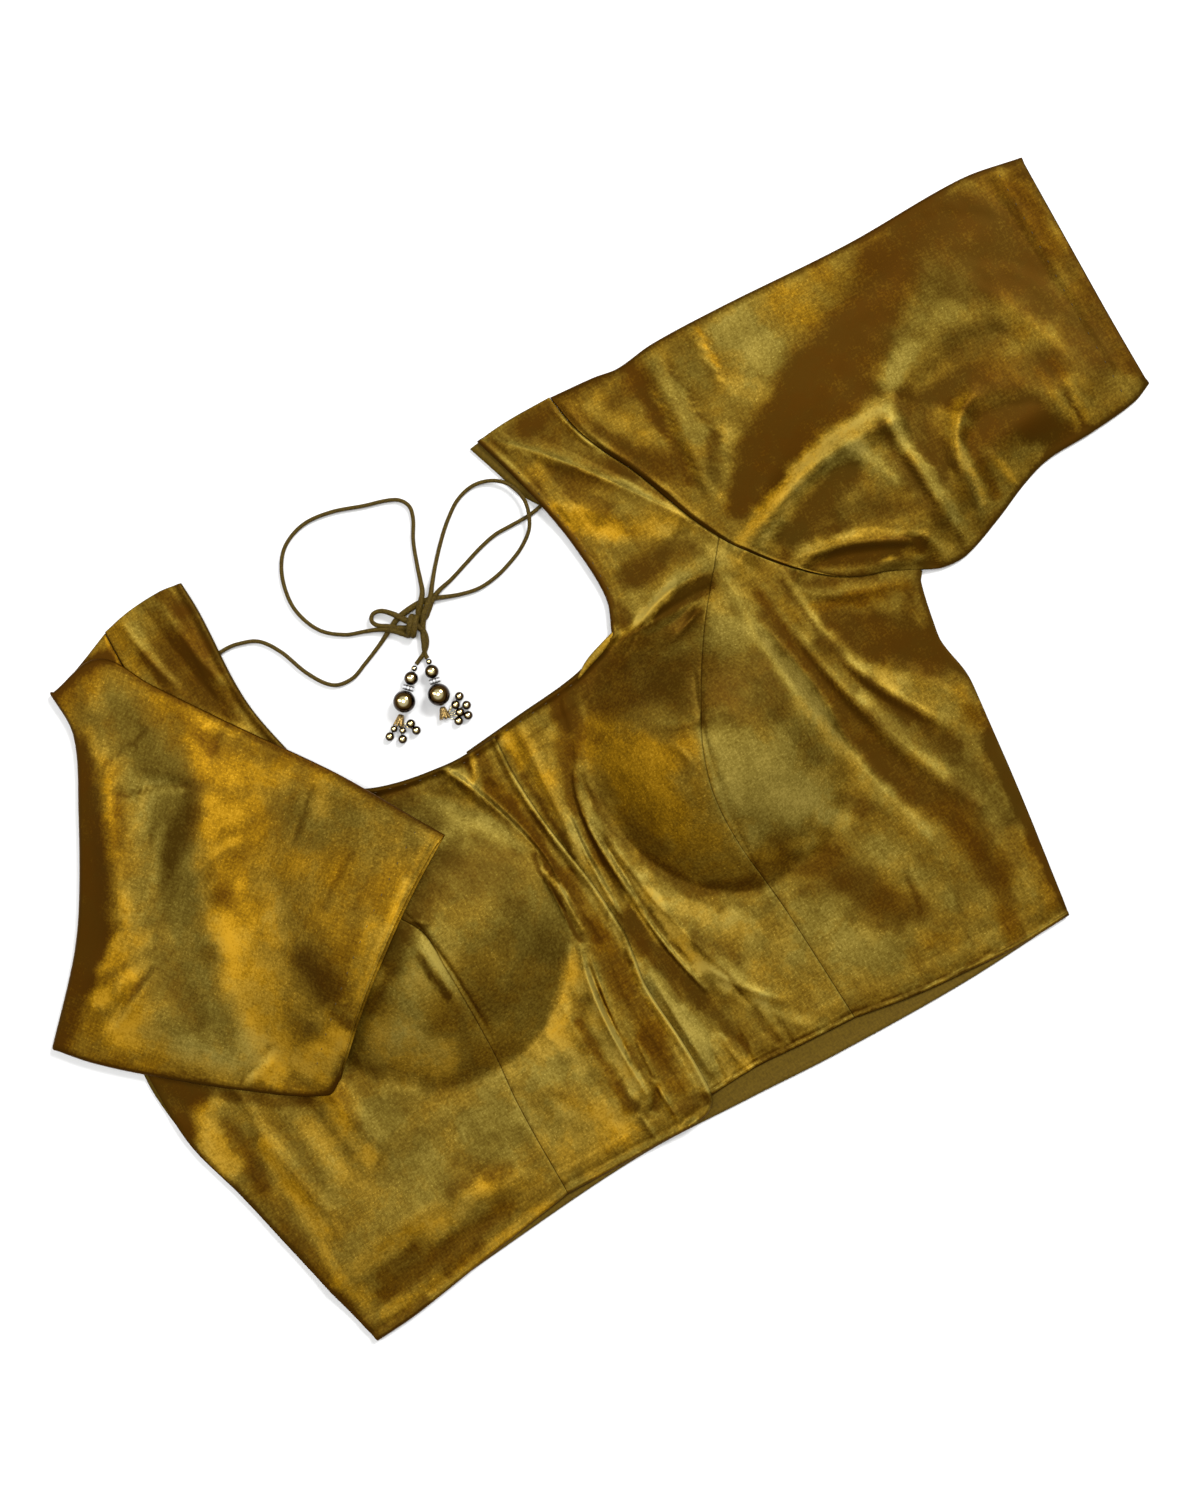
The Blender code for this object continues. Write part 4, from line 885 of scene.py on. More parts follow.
# Painted shine and shade of the cloth by place, as soft streaks: painted highlights, painted shade and
# painted cast shadows, and warmer gold or cooler olive, partly the cloth's shot colour and partly painted
# sheen.
BODY_PAINTED_SHINE_AND_SHADE = [
    # start x, y, end x, y, width, painted light (above zero painted shine, below zero painted shade), warmth
    # right strap
    (-114, 362, -112, 322, 11, -0.28, 0.45),
    (-101, 376, -101, 340, 4, -0.20, 0.40),
    (-133, 384, -137, 366, 8, 0.02, 0.40),
    # right side front, below the folded sleeve
    # painted shadow under the folded sleeve at the side
    (-236, 176, -224, 158, 9, -0.50, 0.30),
    (-238, 150, -237, 138, 3, -0.30, 0.20),
    (-219, 138, -217, 100, 4, -0.26, 0.20),
    (-222, 110, -214, 10, 4, -0.12, 0.30),
    (-210, 118, -209, 40, 4, 0.14, 0.20),
    (-226, 150, -220, 118, 6, 0.12, 0.30),
    # painted shadow under the folded sleeve's lower edge
    (-212, 150, -176, 124, 3, -0.30, 0.20),
    (-208, 118, -205, 62, 4, 0.34, 0.20),
    (-168, 114, -165, 84, 5, 0.26, 0.20),
    (-212, 36, -204, 22, 5, 0.24, 0.30),
    (-136, 45, -108, 41, 5, -0.20, 0.20),
    (-203, 126, -200, 60, 5, 0.06, 0.20),
    (-184, 118, -182, 84, 6, 0.14, 0.10),
    (-165, 132, -160, 106, 7, 0.18, 0.40),
    (-195, 19, -118, 23, 5, -0.22, 0.45),
    (-200, 38, -150, 42, 6, 0.26, 0.30),
    (-190, 28, -170, 31, 4, -0.16, 0.30),
    (-120, 40, -96, 30, 6, 0.14, 0.20),
    (-136, 53, -108, 53, 7, -0.10, 0.00),
    (-200, 8, -100, 12, 5, 0.12, 0.45),
    (-152, 100, -142, 60, 13, 0.06, -0.30),
    (-110, 66, -100, 60, 12, 0.06, -0.35),
    # right cup
    (-120, 108, -60, 104, 10, 0.10, -0.05),
    (-84, 168, -72, 158, 12, 0.14, -0.30),
    (-110, 132, -96, 150, 12, 0.06, -0.30),
    (-130, 136, -106, 110, 12, 0.30, -0.10),
    # painted shadow cast by the folded sleeve's cuff on the cup
    (-38, 200, -66, 184, 4, -0.20, 0.10),
    (-66, 184, -124, 147, 2.4, -0.14, 0.10),
    (-124, 147, -154, 122, 2, -0.10, 0.10),
    (-62, 184, -98, 164, 7, -0.26, -0.05),
    (-84, 148, -126, 130, 13, 0.26, -0.10),
    (-46, 220, -24, 200, 5, 0.05, -0.35),
    (-56, 238, -44, 214, 6, -0.30, 0.10),
    (-28, 226, -22, 212, 2, 0.20, 0.00),
    (-24, 200, -13, 178, 4, 0.05, -0.30),
    (-60, 194, -34, 176, 12, -0.36, -0.05),
    (-36, 150, -28, 130, 12, -0.12, -0.20),
    (-60, 64, -95, 70, 20, 0.10, -0.20),
    (-44, 24, -70, 20, 7, 0.05, 0.35),
    # centre front
    (-6, 204, -4, 160, 2.4, -0.34, 0.45),
    (-4, 160, -5, 118, 2.6, -0.26, 0.45),
    (0, 156, -1, 118, 2.6, -0.12, 0.45),
    (-8, 214, -7, 202, 6, -0.02, 0.45),
    (-24, 232, -19, 220, 2.4, 0.16, 0.25),
    (-11, 232, -16, 221, 2.0, 0.16, 0.25),
    (-16, 234, -16, 227, 1.6, -0.20, 0.30),
    (-6, 182, -6, 158, 1.2, -0.30, 0.20),
    (-10.5, 172, -12.5, 122, 1.4, -0.36, 0.20),
    (-8, 165, -8.5, 128, 1.5, 0.24, 0.00),
    (-50, 238, -78, 250, 9, -0.16, 0.15),
    (1.5, 214, 4, 170, 1.6, 0.24, -0.10),
    (4, 170, 6, 128, 1.8, 0.24, -0.10),
    (7, 124, 5.5, 95, 1.8, 0.34, -0.20),
    (12.5, 122, 12.5, 100, 3.2, -0.30, 0.30),
    (7.5, 226, 7, 200, 1.8, -0.18, 0.20),
    (7, 200, 8, 160, 1.8, -0.30, 0.20),
    (10.5, 170, 10, 132, 2.6, 0.36, 0.00),
    (20, 130, 21, 100, 1.8, 0.26, 0.00),
    (12, 228, 16, 205, 8, 0.04, 0.40),
    (14, 205, 12, 180, 5, 0.04, 0.20),
    (42, 234, 30, 206, 4.0, -0.24, 0.30),
    (30, 206, 21, 180, 3.6, -0.24, 0.30),
    (21, 180, 17, 150, 2.6, -0.16, 0.30),
    (46, 234, 38, 206, 6, -0.36, 0.20),
    (28, 190, 25, 165, 3.4, 0.12, -0.25),
    (25, 165, 24, 125, 3.0, 0.08, -0.10),
    (22.5, 180, 22, 130, 1.2, 0.14, 0.00),
    (24.5, 160, 24.5, 122, 1.0, -0.20, 0.00),
    (30, 195, 31, 180, 1.6, -0.20, 0.20),
    (14, 176, 11, 128, 1.8, 0.10, -0.10),
    (-17, 112, -24, 84, 2.6, 0.16, -0.10),
    (-26, 86, -29, 42, 4.0, 0.36, -0.15),
    (-21, 84, -22, 44, 1.6, -0.10, 0.10),
    (-18, 104, -22.5, 60, 1.2, -0.20, 0.20),
    (-3, 114, -6, 60, 7, -0.16, 0.50),
    (-9, 62, -9, 32, 6, -0.18, 0.40),
    (-25, 27, -19, 36, 2.0, -0.26, 0.30),
    (-19, 38, -19, 18, 1.6, 0.14, 0.20),
    (-36, 86, -37, 34, 3, -0.20, 0.50),
    (-48, 90, -24, 112, 5, 0.28, 0.30),
    (-46, 92, -46, 66, 5, 0.26, 0.10),
    (-84, 68, -82, 24, 5, 0.14, 0.00),
    (-60, 60, -56, 46, 5, -0.12, 0.20),
    (-66, 40, -44, 34, 8, 0.14, 0.10),
    (3, 94, 3, 22, 3.0, 0.40, -0.20),
    (10, 84, 12, 36, 5, 0.20, -0.50),
    (18, 122, 20, 84, 3.6, -0.34, 0.15),
    (20, 84, 25, 62, 3.6, -0.34, 0.15),
    (25, 62, 30, 30, 3.6, -0.18, 0.15),
    (21.5, 120, 26, 80, 1.3, 0.20, -0.10),
    (25, 116, 28, 88, 1.0, -0.20, 0.00),
    (33, 146, 36, 118, 4, 0.06, 0.00),
    (36, 118, 50, 98, 4.5, 0.22, -0.05),
    (30, 122, 33, 76, 3.4, 0.40, 0.10),
    (13, 104, 14, 70, 3.0, -0.30, 0.20),
    (8, 22, 30, 22, 4, 0.30, 0.00),
    (34, 76, 52, 46, 4, 0.22, -0.20),
    (24, 36, 26, 22, 3.5, 0.06, 0.30),
    (45, 44, 46, 24, 2.0, -0.14, 0.10),
    (31, 36, 31, 22, 1.4, -0.14, 0.20),
    # left cup
    (56, 238, 124, 234, 9, -0.34, 0.30),
    (62, 222, 112, 214, 11, -0.22, 0.20),
    (104, 206, 138, 192, 15, -0.46, 0.10),
    (120, 178, 146, 168, 8, -0.18, 0.00),
    (48, 206, 64, 182, 14, 0.22, 0.45),
    (64, 184, 84, 178, 9, 0.12, 0.45),
    (50, 168, 62, 146, 11, 0.10, 0.10),
    (52, 186, 56, 156, 13, 0.14, 0.30),
    (58, 140, 82, 120, 14, 0.16, 0.00),
    (32, 176, 34, 140, 4, -0.20, 0.15),
    (38, 140, 50, 114, 4, -0.14, 0.15),
    (50, 114, 80, 99, 4, -0.22, 0.15),
    (52, 92, 76, 86, 6, 0.12, -0.10),
    (102, 172, 112, 130, 14, 0.22, -0.60),
    (92, 150, 92, 122, 9, 0.16, -0.40),
    (124, 118, 110, 104, 8, 0.12, -0.20),
    (134, 160, 134, 108, 8, 0.10, -0.20),
    (92, 112, 120, 106, 6, -0.08, 0.10),
    (72, 62, 106, 44, 16, 0.10, -0.20),
    (72, 36, 60, 60, 8, 0.04, 0.25),
    # left front, painted shade in the groove of the hem's double edge
    (6, 20.5, 30, 21, 1.0, -0.30, 0.10),
    (30, 21, 56, 18.8, 1.0, -0.30, 0.10),
    (56, 18.8, 88, 15.8, 1.0, -0.30, 0.10),
    (88, 15.8, 124, 8.7, 1.0, -0.30, 0.10),
    (124, 8.7, 158, 5.0, 1.0, -0.30, 0.10),
    (158, 5.0, 184, 2.9, 1.0, -0.25, 0.10),
    # left side front
    (148, 240, 149, 200, 6, 0.04, -0.20),
    (140, 222, 149, 200, 3, 0.10, 0.00),
    (150, 200, 154, 140, 4.6, 0.26, 0.00),
    (154, 140, 159, 104, 5, 0.22, -0.10),
    (159, 104, 170, 76, 5, 0.14, -0.10),
    (160, 226, 162, 186, 2.6, -0.22, 0.40),
    (162, 186, 165, 150, 4.6, -0.34, 0.35),
    (165, 150, 171, 116, 6.5, -0.36, 0.30),
    (171, 116, 184, 84, 8, -0.34, 0.30),
    (184, 84, 188, 40, 7, -0.24, 0.45),
    (188, 40, 181, 8, 5, -0.16, 0.45),
    (167, 228, 171, 196, 2.4, 0.02, 0.10),
    (170, 196, 179, 150, 3.2, 0.16, -0.10),
    (179, 150, 198, 96, 4.0, 0.12, -0.20),
    (198, 96, 206, 74, 4.0, 0.06, -0.20),
    (173.5, 226, 175, 190, 1.3, -0.20, 0.10),
    (176, 188, 184, 158, 3.0, -0.22, 0.10),
    (185, 156, 206, 106, 4.0, -0.36, 0.10),
    (177.5, 222, 177.5, 202, 1.6, 0.16, 0.00),
    (177.5, 202, 185, 174, 2.2, 0.24, 0.00),
    (185, 174, 200, 150, 5.0, 0.26, -0.05),
    (200, 150, 216, 122, 6.0, 0.16, -0.05),
    (186, 196, 204, 176, 7, -0.36, 0.30),
    (204, 176, 226, 148, 10, -0.60, 0.30),
    (182, 206, 204, 197, 3.0, -0.06, 0.45),
    (184, 190, 196, 164, 4, -0.20, 0.20),
    (204, 197, 226, 192, 4.0, -0.06, 0.45),
    (222, 130, 224, 104, 4, -0.10, 0.40),
    (204, 96, 208, 62, 7, -0.12, -0.40),
    (212, 40, 206, 10, 6, -0.04, 0.40),
    (222, 100, 214, 20, 3.4, -0.30, 0.00),
    (206, 56, 200, 40, 6, -0.16, 0.10),
    (196, 28, 194, 12, 4, 0.14, 0.00),
    (100, 104, 118, 90, 8, -0.20, 0.25),
    (118, 90, 130, 58, 8, -0.30, 0.20),
    (134, 58, 144, 42, 6, -0.20, 0.20),
    (148, 60, 145.5, 42, 1.2, -0.28, 0.10),
    (144, 84, 160, 40, 7, 0.08, -0.20),
    (94, 82, 118, 30, 14, 0.06, -0.20),
    (166, 42, 160, 14, 1.6, -0.14, 0.00),
    (140, 30, 150, 18, 5, 0.04, 0.35),
    # left strap
    (84, 364, 118, 364, 6, -0.14, 0.10),
    (86, 363, 112, 335, 1.6, 0.14, 0.00),
    (112, 335, 139, 301, 1.7, 0.20, 0.00),
    (139, 301, 149, 280, 1.7, 0.16, 0.00),
    (104, 358, 122, 352, 7, -0.20, 0.10),
    (110, 346, 132, 318, 6, -0.18, 0.10),
    (93, 322, 94, 342, 5, 0.08, 0.30),
    (94, 316, 112, 296, 8, 0.24, 0.45),
    (112, 294, 138, 281, 6, 0.26, 0.20),
    (93, 250, 93, 300, 4.0, -0.36, 0.20),
    (93, 300, 89, 334, 3.4, -0.26, 0.20),
    (108, 268, 140, 268, 6, -0.34, 0.10),
    (142, 300, 157, 266, 1.6, -0.30, 0.10),
    (100, 247, 124, 254, 3.0, 0.36, -0.10),
    (124, 256, 144, 256, 3.4, 0.16, -0.10),
    (110, 245, 140, 246, 3.0, -0.40, 0.00),
    (88, 243, 141, 242, 1.2, -0.34, 0.20),
    (102, 239, 120, 238, 1.8, 0.08, -0.20),
    (108, 231, 128, 234, 3, -0.24, 0.20),
    # spread sleeve
    (118, 360, 126, 338, 1.6, 0.16, 0.10),
    (131, 334, 139, 306, 1.2, 0.12, 0.00),
    (128, 356, 132, 344, 4, -0.14, 0.20),
    (139, 354, 154, 326, 6, 0.10, 0.20),
    (136, 322, 156, 306, 8, -0.36, 0.20),
    (104, 364, 150, 366, 6, -0.20, 0.20),
    (116, 322, 104, 334, 6, -0.20, 0.10),
    (163, 362, 162.5, 326, 3.4, -0.46, 0.40),
    (162.5, 326, 160.5, 292, 2.0, -0.36, 0.40),
    (169, 344, 165, 296, 1.8, 0.16, 0.20),
    (165, 296, 171, 276, 2.4, 0.14, 0.10),
    (176, 356, 176, 312, 5, -0.04, -0.50),
    (182.5, 352, 183, 292, 1.2, -0.26, -0.10),
    (192, 356, 190, 330, 6, -0.10, -0.30),
    (206, 322, 214, 314, 7, 0.20, -0.20),
    (170, 284, 190, 304, 5, 0.24, -0.10),
    (201, 362, 200, 330, 1.1, 0.22, 0.00),
    (205, 360, 204, 338, 1.8, 0.10, 0.50),
    (222, 350, 226, 330, 13, 0.16, -0.60),
    (252, 350, 254, 334, 9, 0.10, 0.30),
    (274, 354, 276, 342, 6, -0.10, 0.30),
    (174, 270, 198, 288, 6, -0.50, 0.45),
    (198, 288, 240, 304, 12, -0.56, 0.45),
    (240, 304, 276, 314, 17, -0.60, 0.45),
    (276, 314, 304, 336, 15, -0.60, 0.45),
    (304, 336, 334, 348, 10, -0.56, 0.35),
    (334, 348, 354, 336, 12, -0.56, 0.25),
    (354, 336, 364, 296, 13, -0.56, 0.15),
    (364, 296, 376, 236, 9, -0.34, 0.05),
    (164, 254, 184, 261, 3.0, 0.34, 0.30),
    (184, 261, 206, 268, 4.4, 0.44, 0.10),
    (206, 268, 226, 276, 6.5, 0.44, -0.05),
    (226, 276, 264, 278, 6.5, 0.40, -0.20),
    (264, 278, 290, 293, 6.5, 0.26, -0.40),
    (290, 296, 322, 306, 11, -0.06, -0.50),
    (322, 320, 340, 300, 10, -0.34, -0.20),
    (346, 304, 360, 276, 8, -0.34, 0.10),
    (344, 298, 350, 268, 6, 0.06, 0.20),
    (312, 282, 332, 278, 9, -0.26, -0.10),
    (286, 266, 308, 266, 6, -0.34, -0.10),
    (190, 246, 232, 257, 8, -0.50, -0.10),
    (216, 240, 238, 232, 6, -0.16, -0.10),
    (240, 264, 249, 242, 6, 0.16, -0.30),
    (258, 268, 259, 206, 2.8, -0.30, 0.00),
    (266, 272, 267, 206, 3.0, 0.08, -0.35),
    (278, 276, 277, 208, 4.5, -0.26, 0.00),
    (284, 206, 286, 240, 2.2, 0.26, 0.30),
    (286, 240, 298, 257, 3.0, 0.24, 0.20),
    (298, 257, 318, 260, 6, -0.10, 0.20),
    (318, 264, 346, 244, 9, -0.34, 0.20),
    (293, 240, 291, 206, 3.0, -0.30, 0.60),
    (300, 222, 302, 208, 3, 0.14, 0.40),
    (304, 240, 326, 232, 8, -0.46, 0.35),
    (326, 232, 338, 212, 8, -0.50, 0.35),
    (342, 250, 346, 216, 2.4, 0.12, 0.30),
    (352, 250, 352, 216, 2.2, 0.10, 0.30),
    (349, 232, 349.5, 209, 1.2, -0.34, 0.30),
    (366, 224, 366, 212, 7, -0.06, 0.20),
    (384, 340, 383, 300, 6, -0.22, 0.50),
    (372, 316, 368, 280, 6, -0.20, 0.10),
    (386, 290, 385, 230, 6, -0.24, 0.20),
    (184, 230, 200, 233, 3.6, 0.30, -0.20),
    (190, 243, 216, 240, 4, -0.20, -0.10),
    (200, 235, 222, 226, 2.6, 0.26, 0.00),
    (222, 226, 248, 209, 1.8, 0.24, 0.00),
    (192, 226, 214, 217, 5, -0.38, 0.25),
    (214, 217, 242, 205, 5, -0.36, 0.35),
    (226, 207, 228, 206, 1.6, 0.50, 0.30),
    (243, 208, 246, 191, 1.8, -0.46, 0.20),
    (252, 203, 256, 194, 3, 0.16, -0.10),
    (262.5, 206, 263.5, 190, 1.0, -0.24, 0.00),
    (268, 204, 270, 192, 4, 0.10, -0.10),
    # spread sleeve, edges of its bands
    (185, 266, 213, 281, 4, -0.30, 0.20),
    (213, 281, 262, 287, 5, -0.34, 0.30),
    (262, 287, 275, 278, 4, -0.30, 0.10),
    (272, 274, 271, 226, 2.6, -0.34, 0.00),
    (181, 250, 210, 260, 3.6, 0.30, 0.00),
    (210, 260, 244, 265, 4, 0.28, -0.10),
    (262, 266, 262, 250, 3, 0.20, -0.10),
    (328, 332, 346, 312, 8, -0.44, 0.10),
    (372, 352, 374, 326, 6, -0.24, 0.20),
    (290, 264, 302, 250, 4, -0.28, 0.10),
    (312, 254, 328, 245, 7, -0.16, 0.10),
    (170, 284, 181, 306, 4, -0.34, 0.00),
    (183, 236, 186, 226, 4, -0.26, 0.20),
    (198, 237, 216, 232, 3, -0.26, 0.10),
    (236, 230, 254, 222, 4, -0.20, 0.00),
    (253, 250, 254, 232, 3, -0.26, 0.00),
    (277, 226, 276, 206, 2.6, 0.30, 0.10),
    (325, 208.5, 352, 208.5, 2.6, -0.30, 0.10),
    (386, 353, 393, 336, 3, -0.30, 0.20),
    (300, 356, 350, 354.5, 2.4, -0.24, 0.20),
    # left strap and left side front, edges of their bands
    (104, 322, 116, 306, 4, -0.24, 0.20),
    (110, 302, 122, 288, 4, -0.20, 0.20),
    (134, 340, 141, 328, 4, -0.34, 0.10),
    (136, 312, 144, 296, 3, -0.30, 0.10),
    (92, 262, 91, 302, 3, -0.26, 0.20),
    (96, 312, 94, 296, 3, 0.16, 0.20),
    (156, 216, 158, 194, 4, -0.26, 0.20),
    (184, 218, 216, 203, 3, -0.28, 0.20),
    (183, 184, 192, 168, 4, -0.24, 0.20),
    (198, 164, 212, 150, 7, -0.20, 0.20),
    (178, 142, 201, 100, 4.5, -0.30, 0.10),
    (160, 138, 173, 92, 4, -0.20, 0.10),
    (196, 92, 198, 58, 4, -0.22, 0.10),
    (213, 10, 222, 92, 3, -0.30, 0.10),
    (226, 186, 221, 176, 4, -0.20, 0.20),
    (229, 118, 226, 96, 3.4, 0.24, 0.20),
    # cups and centre front, edges of their bands
    (44, 222, 48, 208, 5, -0.22, 0.20),
    (-6, 234, -12, 206, 4, -0.22, 0.20),
    (-20, 174, -30, 158, 7, -0.18, 0.00),
    (-62, 198, -46, 190, 5, -0.30, 0.00),
    (-85, 160, -84, 134, 2.2, -0.30, 0.00),
    (-25, 100, -20, 120, 3, 0.30, 0.00),
    (-26, 62, -27, 34, 3, 0.24, 0.00),
    (-34, 48, -33, 34, 2.4, -0.30, 0.10),
    (-18, 94, -20, 50, 2.0, -0.20, 0.10),
    (25, 154, 28, 126, 2.4, 0.28, 0.00),
    (30, 100, 40, 62, 4, 0.26, 0.00),
    (39, 92, 52, 70, 4, -0.20, 0.10),
    (46, 50, 70, 18, 4, 0.22, -0.10),
    (58, 90, 66, 80, 6, 0.22, 0.00),
    (18, 26, 20, 42, 4, 0.20, -0.10),
    (96, 108, 114, 100, 6, 0.24, -0.20),
    (70, 160, 84, 146, 11, 0.14, 0.00),
    (118, 144, 124, 126, 11, 0.12, -0.20),
    (80, 86, 86, 84, 4, -0.20, 0.00),
    (100, 82, 114, 75, 5, -0.20, 0.10),
    (116, 58, 132, 44, 6, -0.22, 0.10),
    (136, 168, 139, 138, 5, -0.18, 0.10),
    (102, 184, 110, 178, 6, -0.20, 0.10),
    (-70, 250, -40, 239, 3, -0.26, 0.10),
    (-40, 239, 60, 238, 2.6, -0.24, 0.10),
    # right side front, edges of its bands
    (-232, 142, -232, 116, 7, 0.30, 0.20),
    (-224, 152, -216, 149, 4, 0.26, 0.20),
    (-238, 158, -236, 144, 3, -0.20, 0.20),
    (-162, 120, -160, 102, 4, -0.26, 0.10),
    (-156, 34, -124, 40, 6, 0.30, 0.10),
    (-64, 52, -40, 30, 6, 0.24, 0.10),
    (-190, 74, -178, 70, 9, 0.14, 0.00),
    (-162, 12, -142, 14, 4, -0.24, 0.20),
    (-110, 64, -88, 50, 6, -0.14, 0.00),
    (-214, 2, -180, 3, 4, -0.34, 0.20),
    # spots between the bands
    # painted shadow beside the folded sleeve's cuff
    (-102, 168, -62, 190, 3, -0.34, 0.00),
    (-66, 190, -52, 194, 4, -0.36, 0.00),
    (-84, 156, -84, 136, 3, -0.28, 0.00),
    (-22, 64, -19, 104, 4, 0.34, 0.00),
    (-80, 84, -42, 82, 7, 0.14, 0.00),
    (-122, 86, -92, 84, 5, 0.10, 0.00),
    (172, 188, 176, 158, 3, -0.26, 0.00),
    (182, 152, 190, 130, 3, -0.18, 0.00),
    (190, 156, 204, 118, 3, 0.22, 0.00),
    (150, 196, 146, 164, 3, 0.16, 0.00),
    (213, 6, 221, 96, 3, -0.36, 0.00),
    (130, 262, 152, 276, 4, 0.14, 0.00),
    (98, 246, 118, 250, 3, 0.26, 0.00),
    (36, 176, 34, 132, 3, 0.16, 0.00),
    (-186, 84, -176, 112, 6, 0.08, 0.00),
    (200, 272, 222, 279, 3.5, -0.26, 0.20),
    (222, 279, 264, 281, 4, -0.34, 0.20),
    (264, 281, 271, 268, 4, -0.30, 0.10),
    (268, 262, 270, 238, 2, -0.26, 0.00),
    (352, 252, 366, 238, 7, -0.22, 0.10),
    (300, 229, 320, 226, 8, -0.20, 0.20),
    (386, 226, 391, 214, 4, -0.24, 0.10),
    (150, 350, 166, 356, 7, -0.24, 0.20),
    (178, 234, 180, 224, 3, -0.28, 0.10),
    (198, 234, 210, 233, 3, -0.24, 0.10),
    (176, 246, 196, 256, 3, 0.26, 0.10),
    (226, 264, 242, 260, 4, 0.20, -0.10),
    (186, 226, 204, 226, 2.6, 0.26, -0.10),
    (236, 206, 244, 198, 3, 0.26, 0.00),
    (152, 258, 160, 240, 4, 0.30, 0.00),
    (124, 240, 140, 232, 5, 0.20, 0.00),
    (82, 246, 98, 246, 2.4, 0.26, 0.00),
    (32, 222, 38, 216, 4, 0.20, 0.00),
    (10, 232, 8, 214, 3, 0.24, 0.10),
    (-9, 197, 0, 186, 5, -0.26, 0.20),
    (-30, 196, -20, 180, 4, -0.22, 0.00),
    (-16, 21, 2, 18, 4, -0.34, 0.10),
    (-236, 152, -234, 144, 4, -0.30, 0.10),
    (-134, 112, -126, 103, 5, 0.24, 0.00),
    (-114, 160, -97, 167, 5, 0.24, 0.00),
    (-114, 318, -106, 306, 4, 0.34, 0.10),
    (-103, 388, -99, 376, 4, -0.34, 0.30),
    (-128, 366, -126, 342, 3, -0.24, 0.30),
    (-99, 374, -98, 352, 3, -0.26, 0.20),
    (20, 123, 20, 113, 2, 0.30, 0.00),
    (129, 112, 134, 103, 5, 0.20, -0.10),
    (142, 113, 148, 103, 5, -0.22, 0.10),
    (229, 152, 229, 138, 3, -0.28, 0.10),
    (-74, 32, -50, 27, 8, 0.14, 0.10),
]
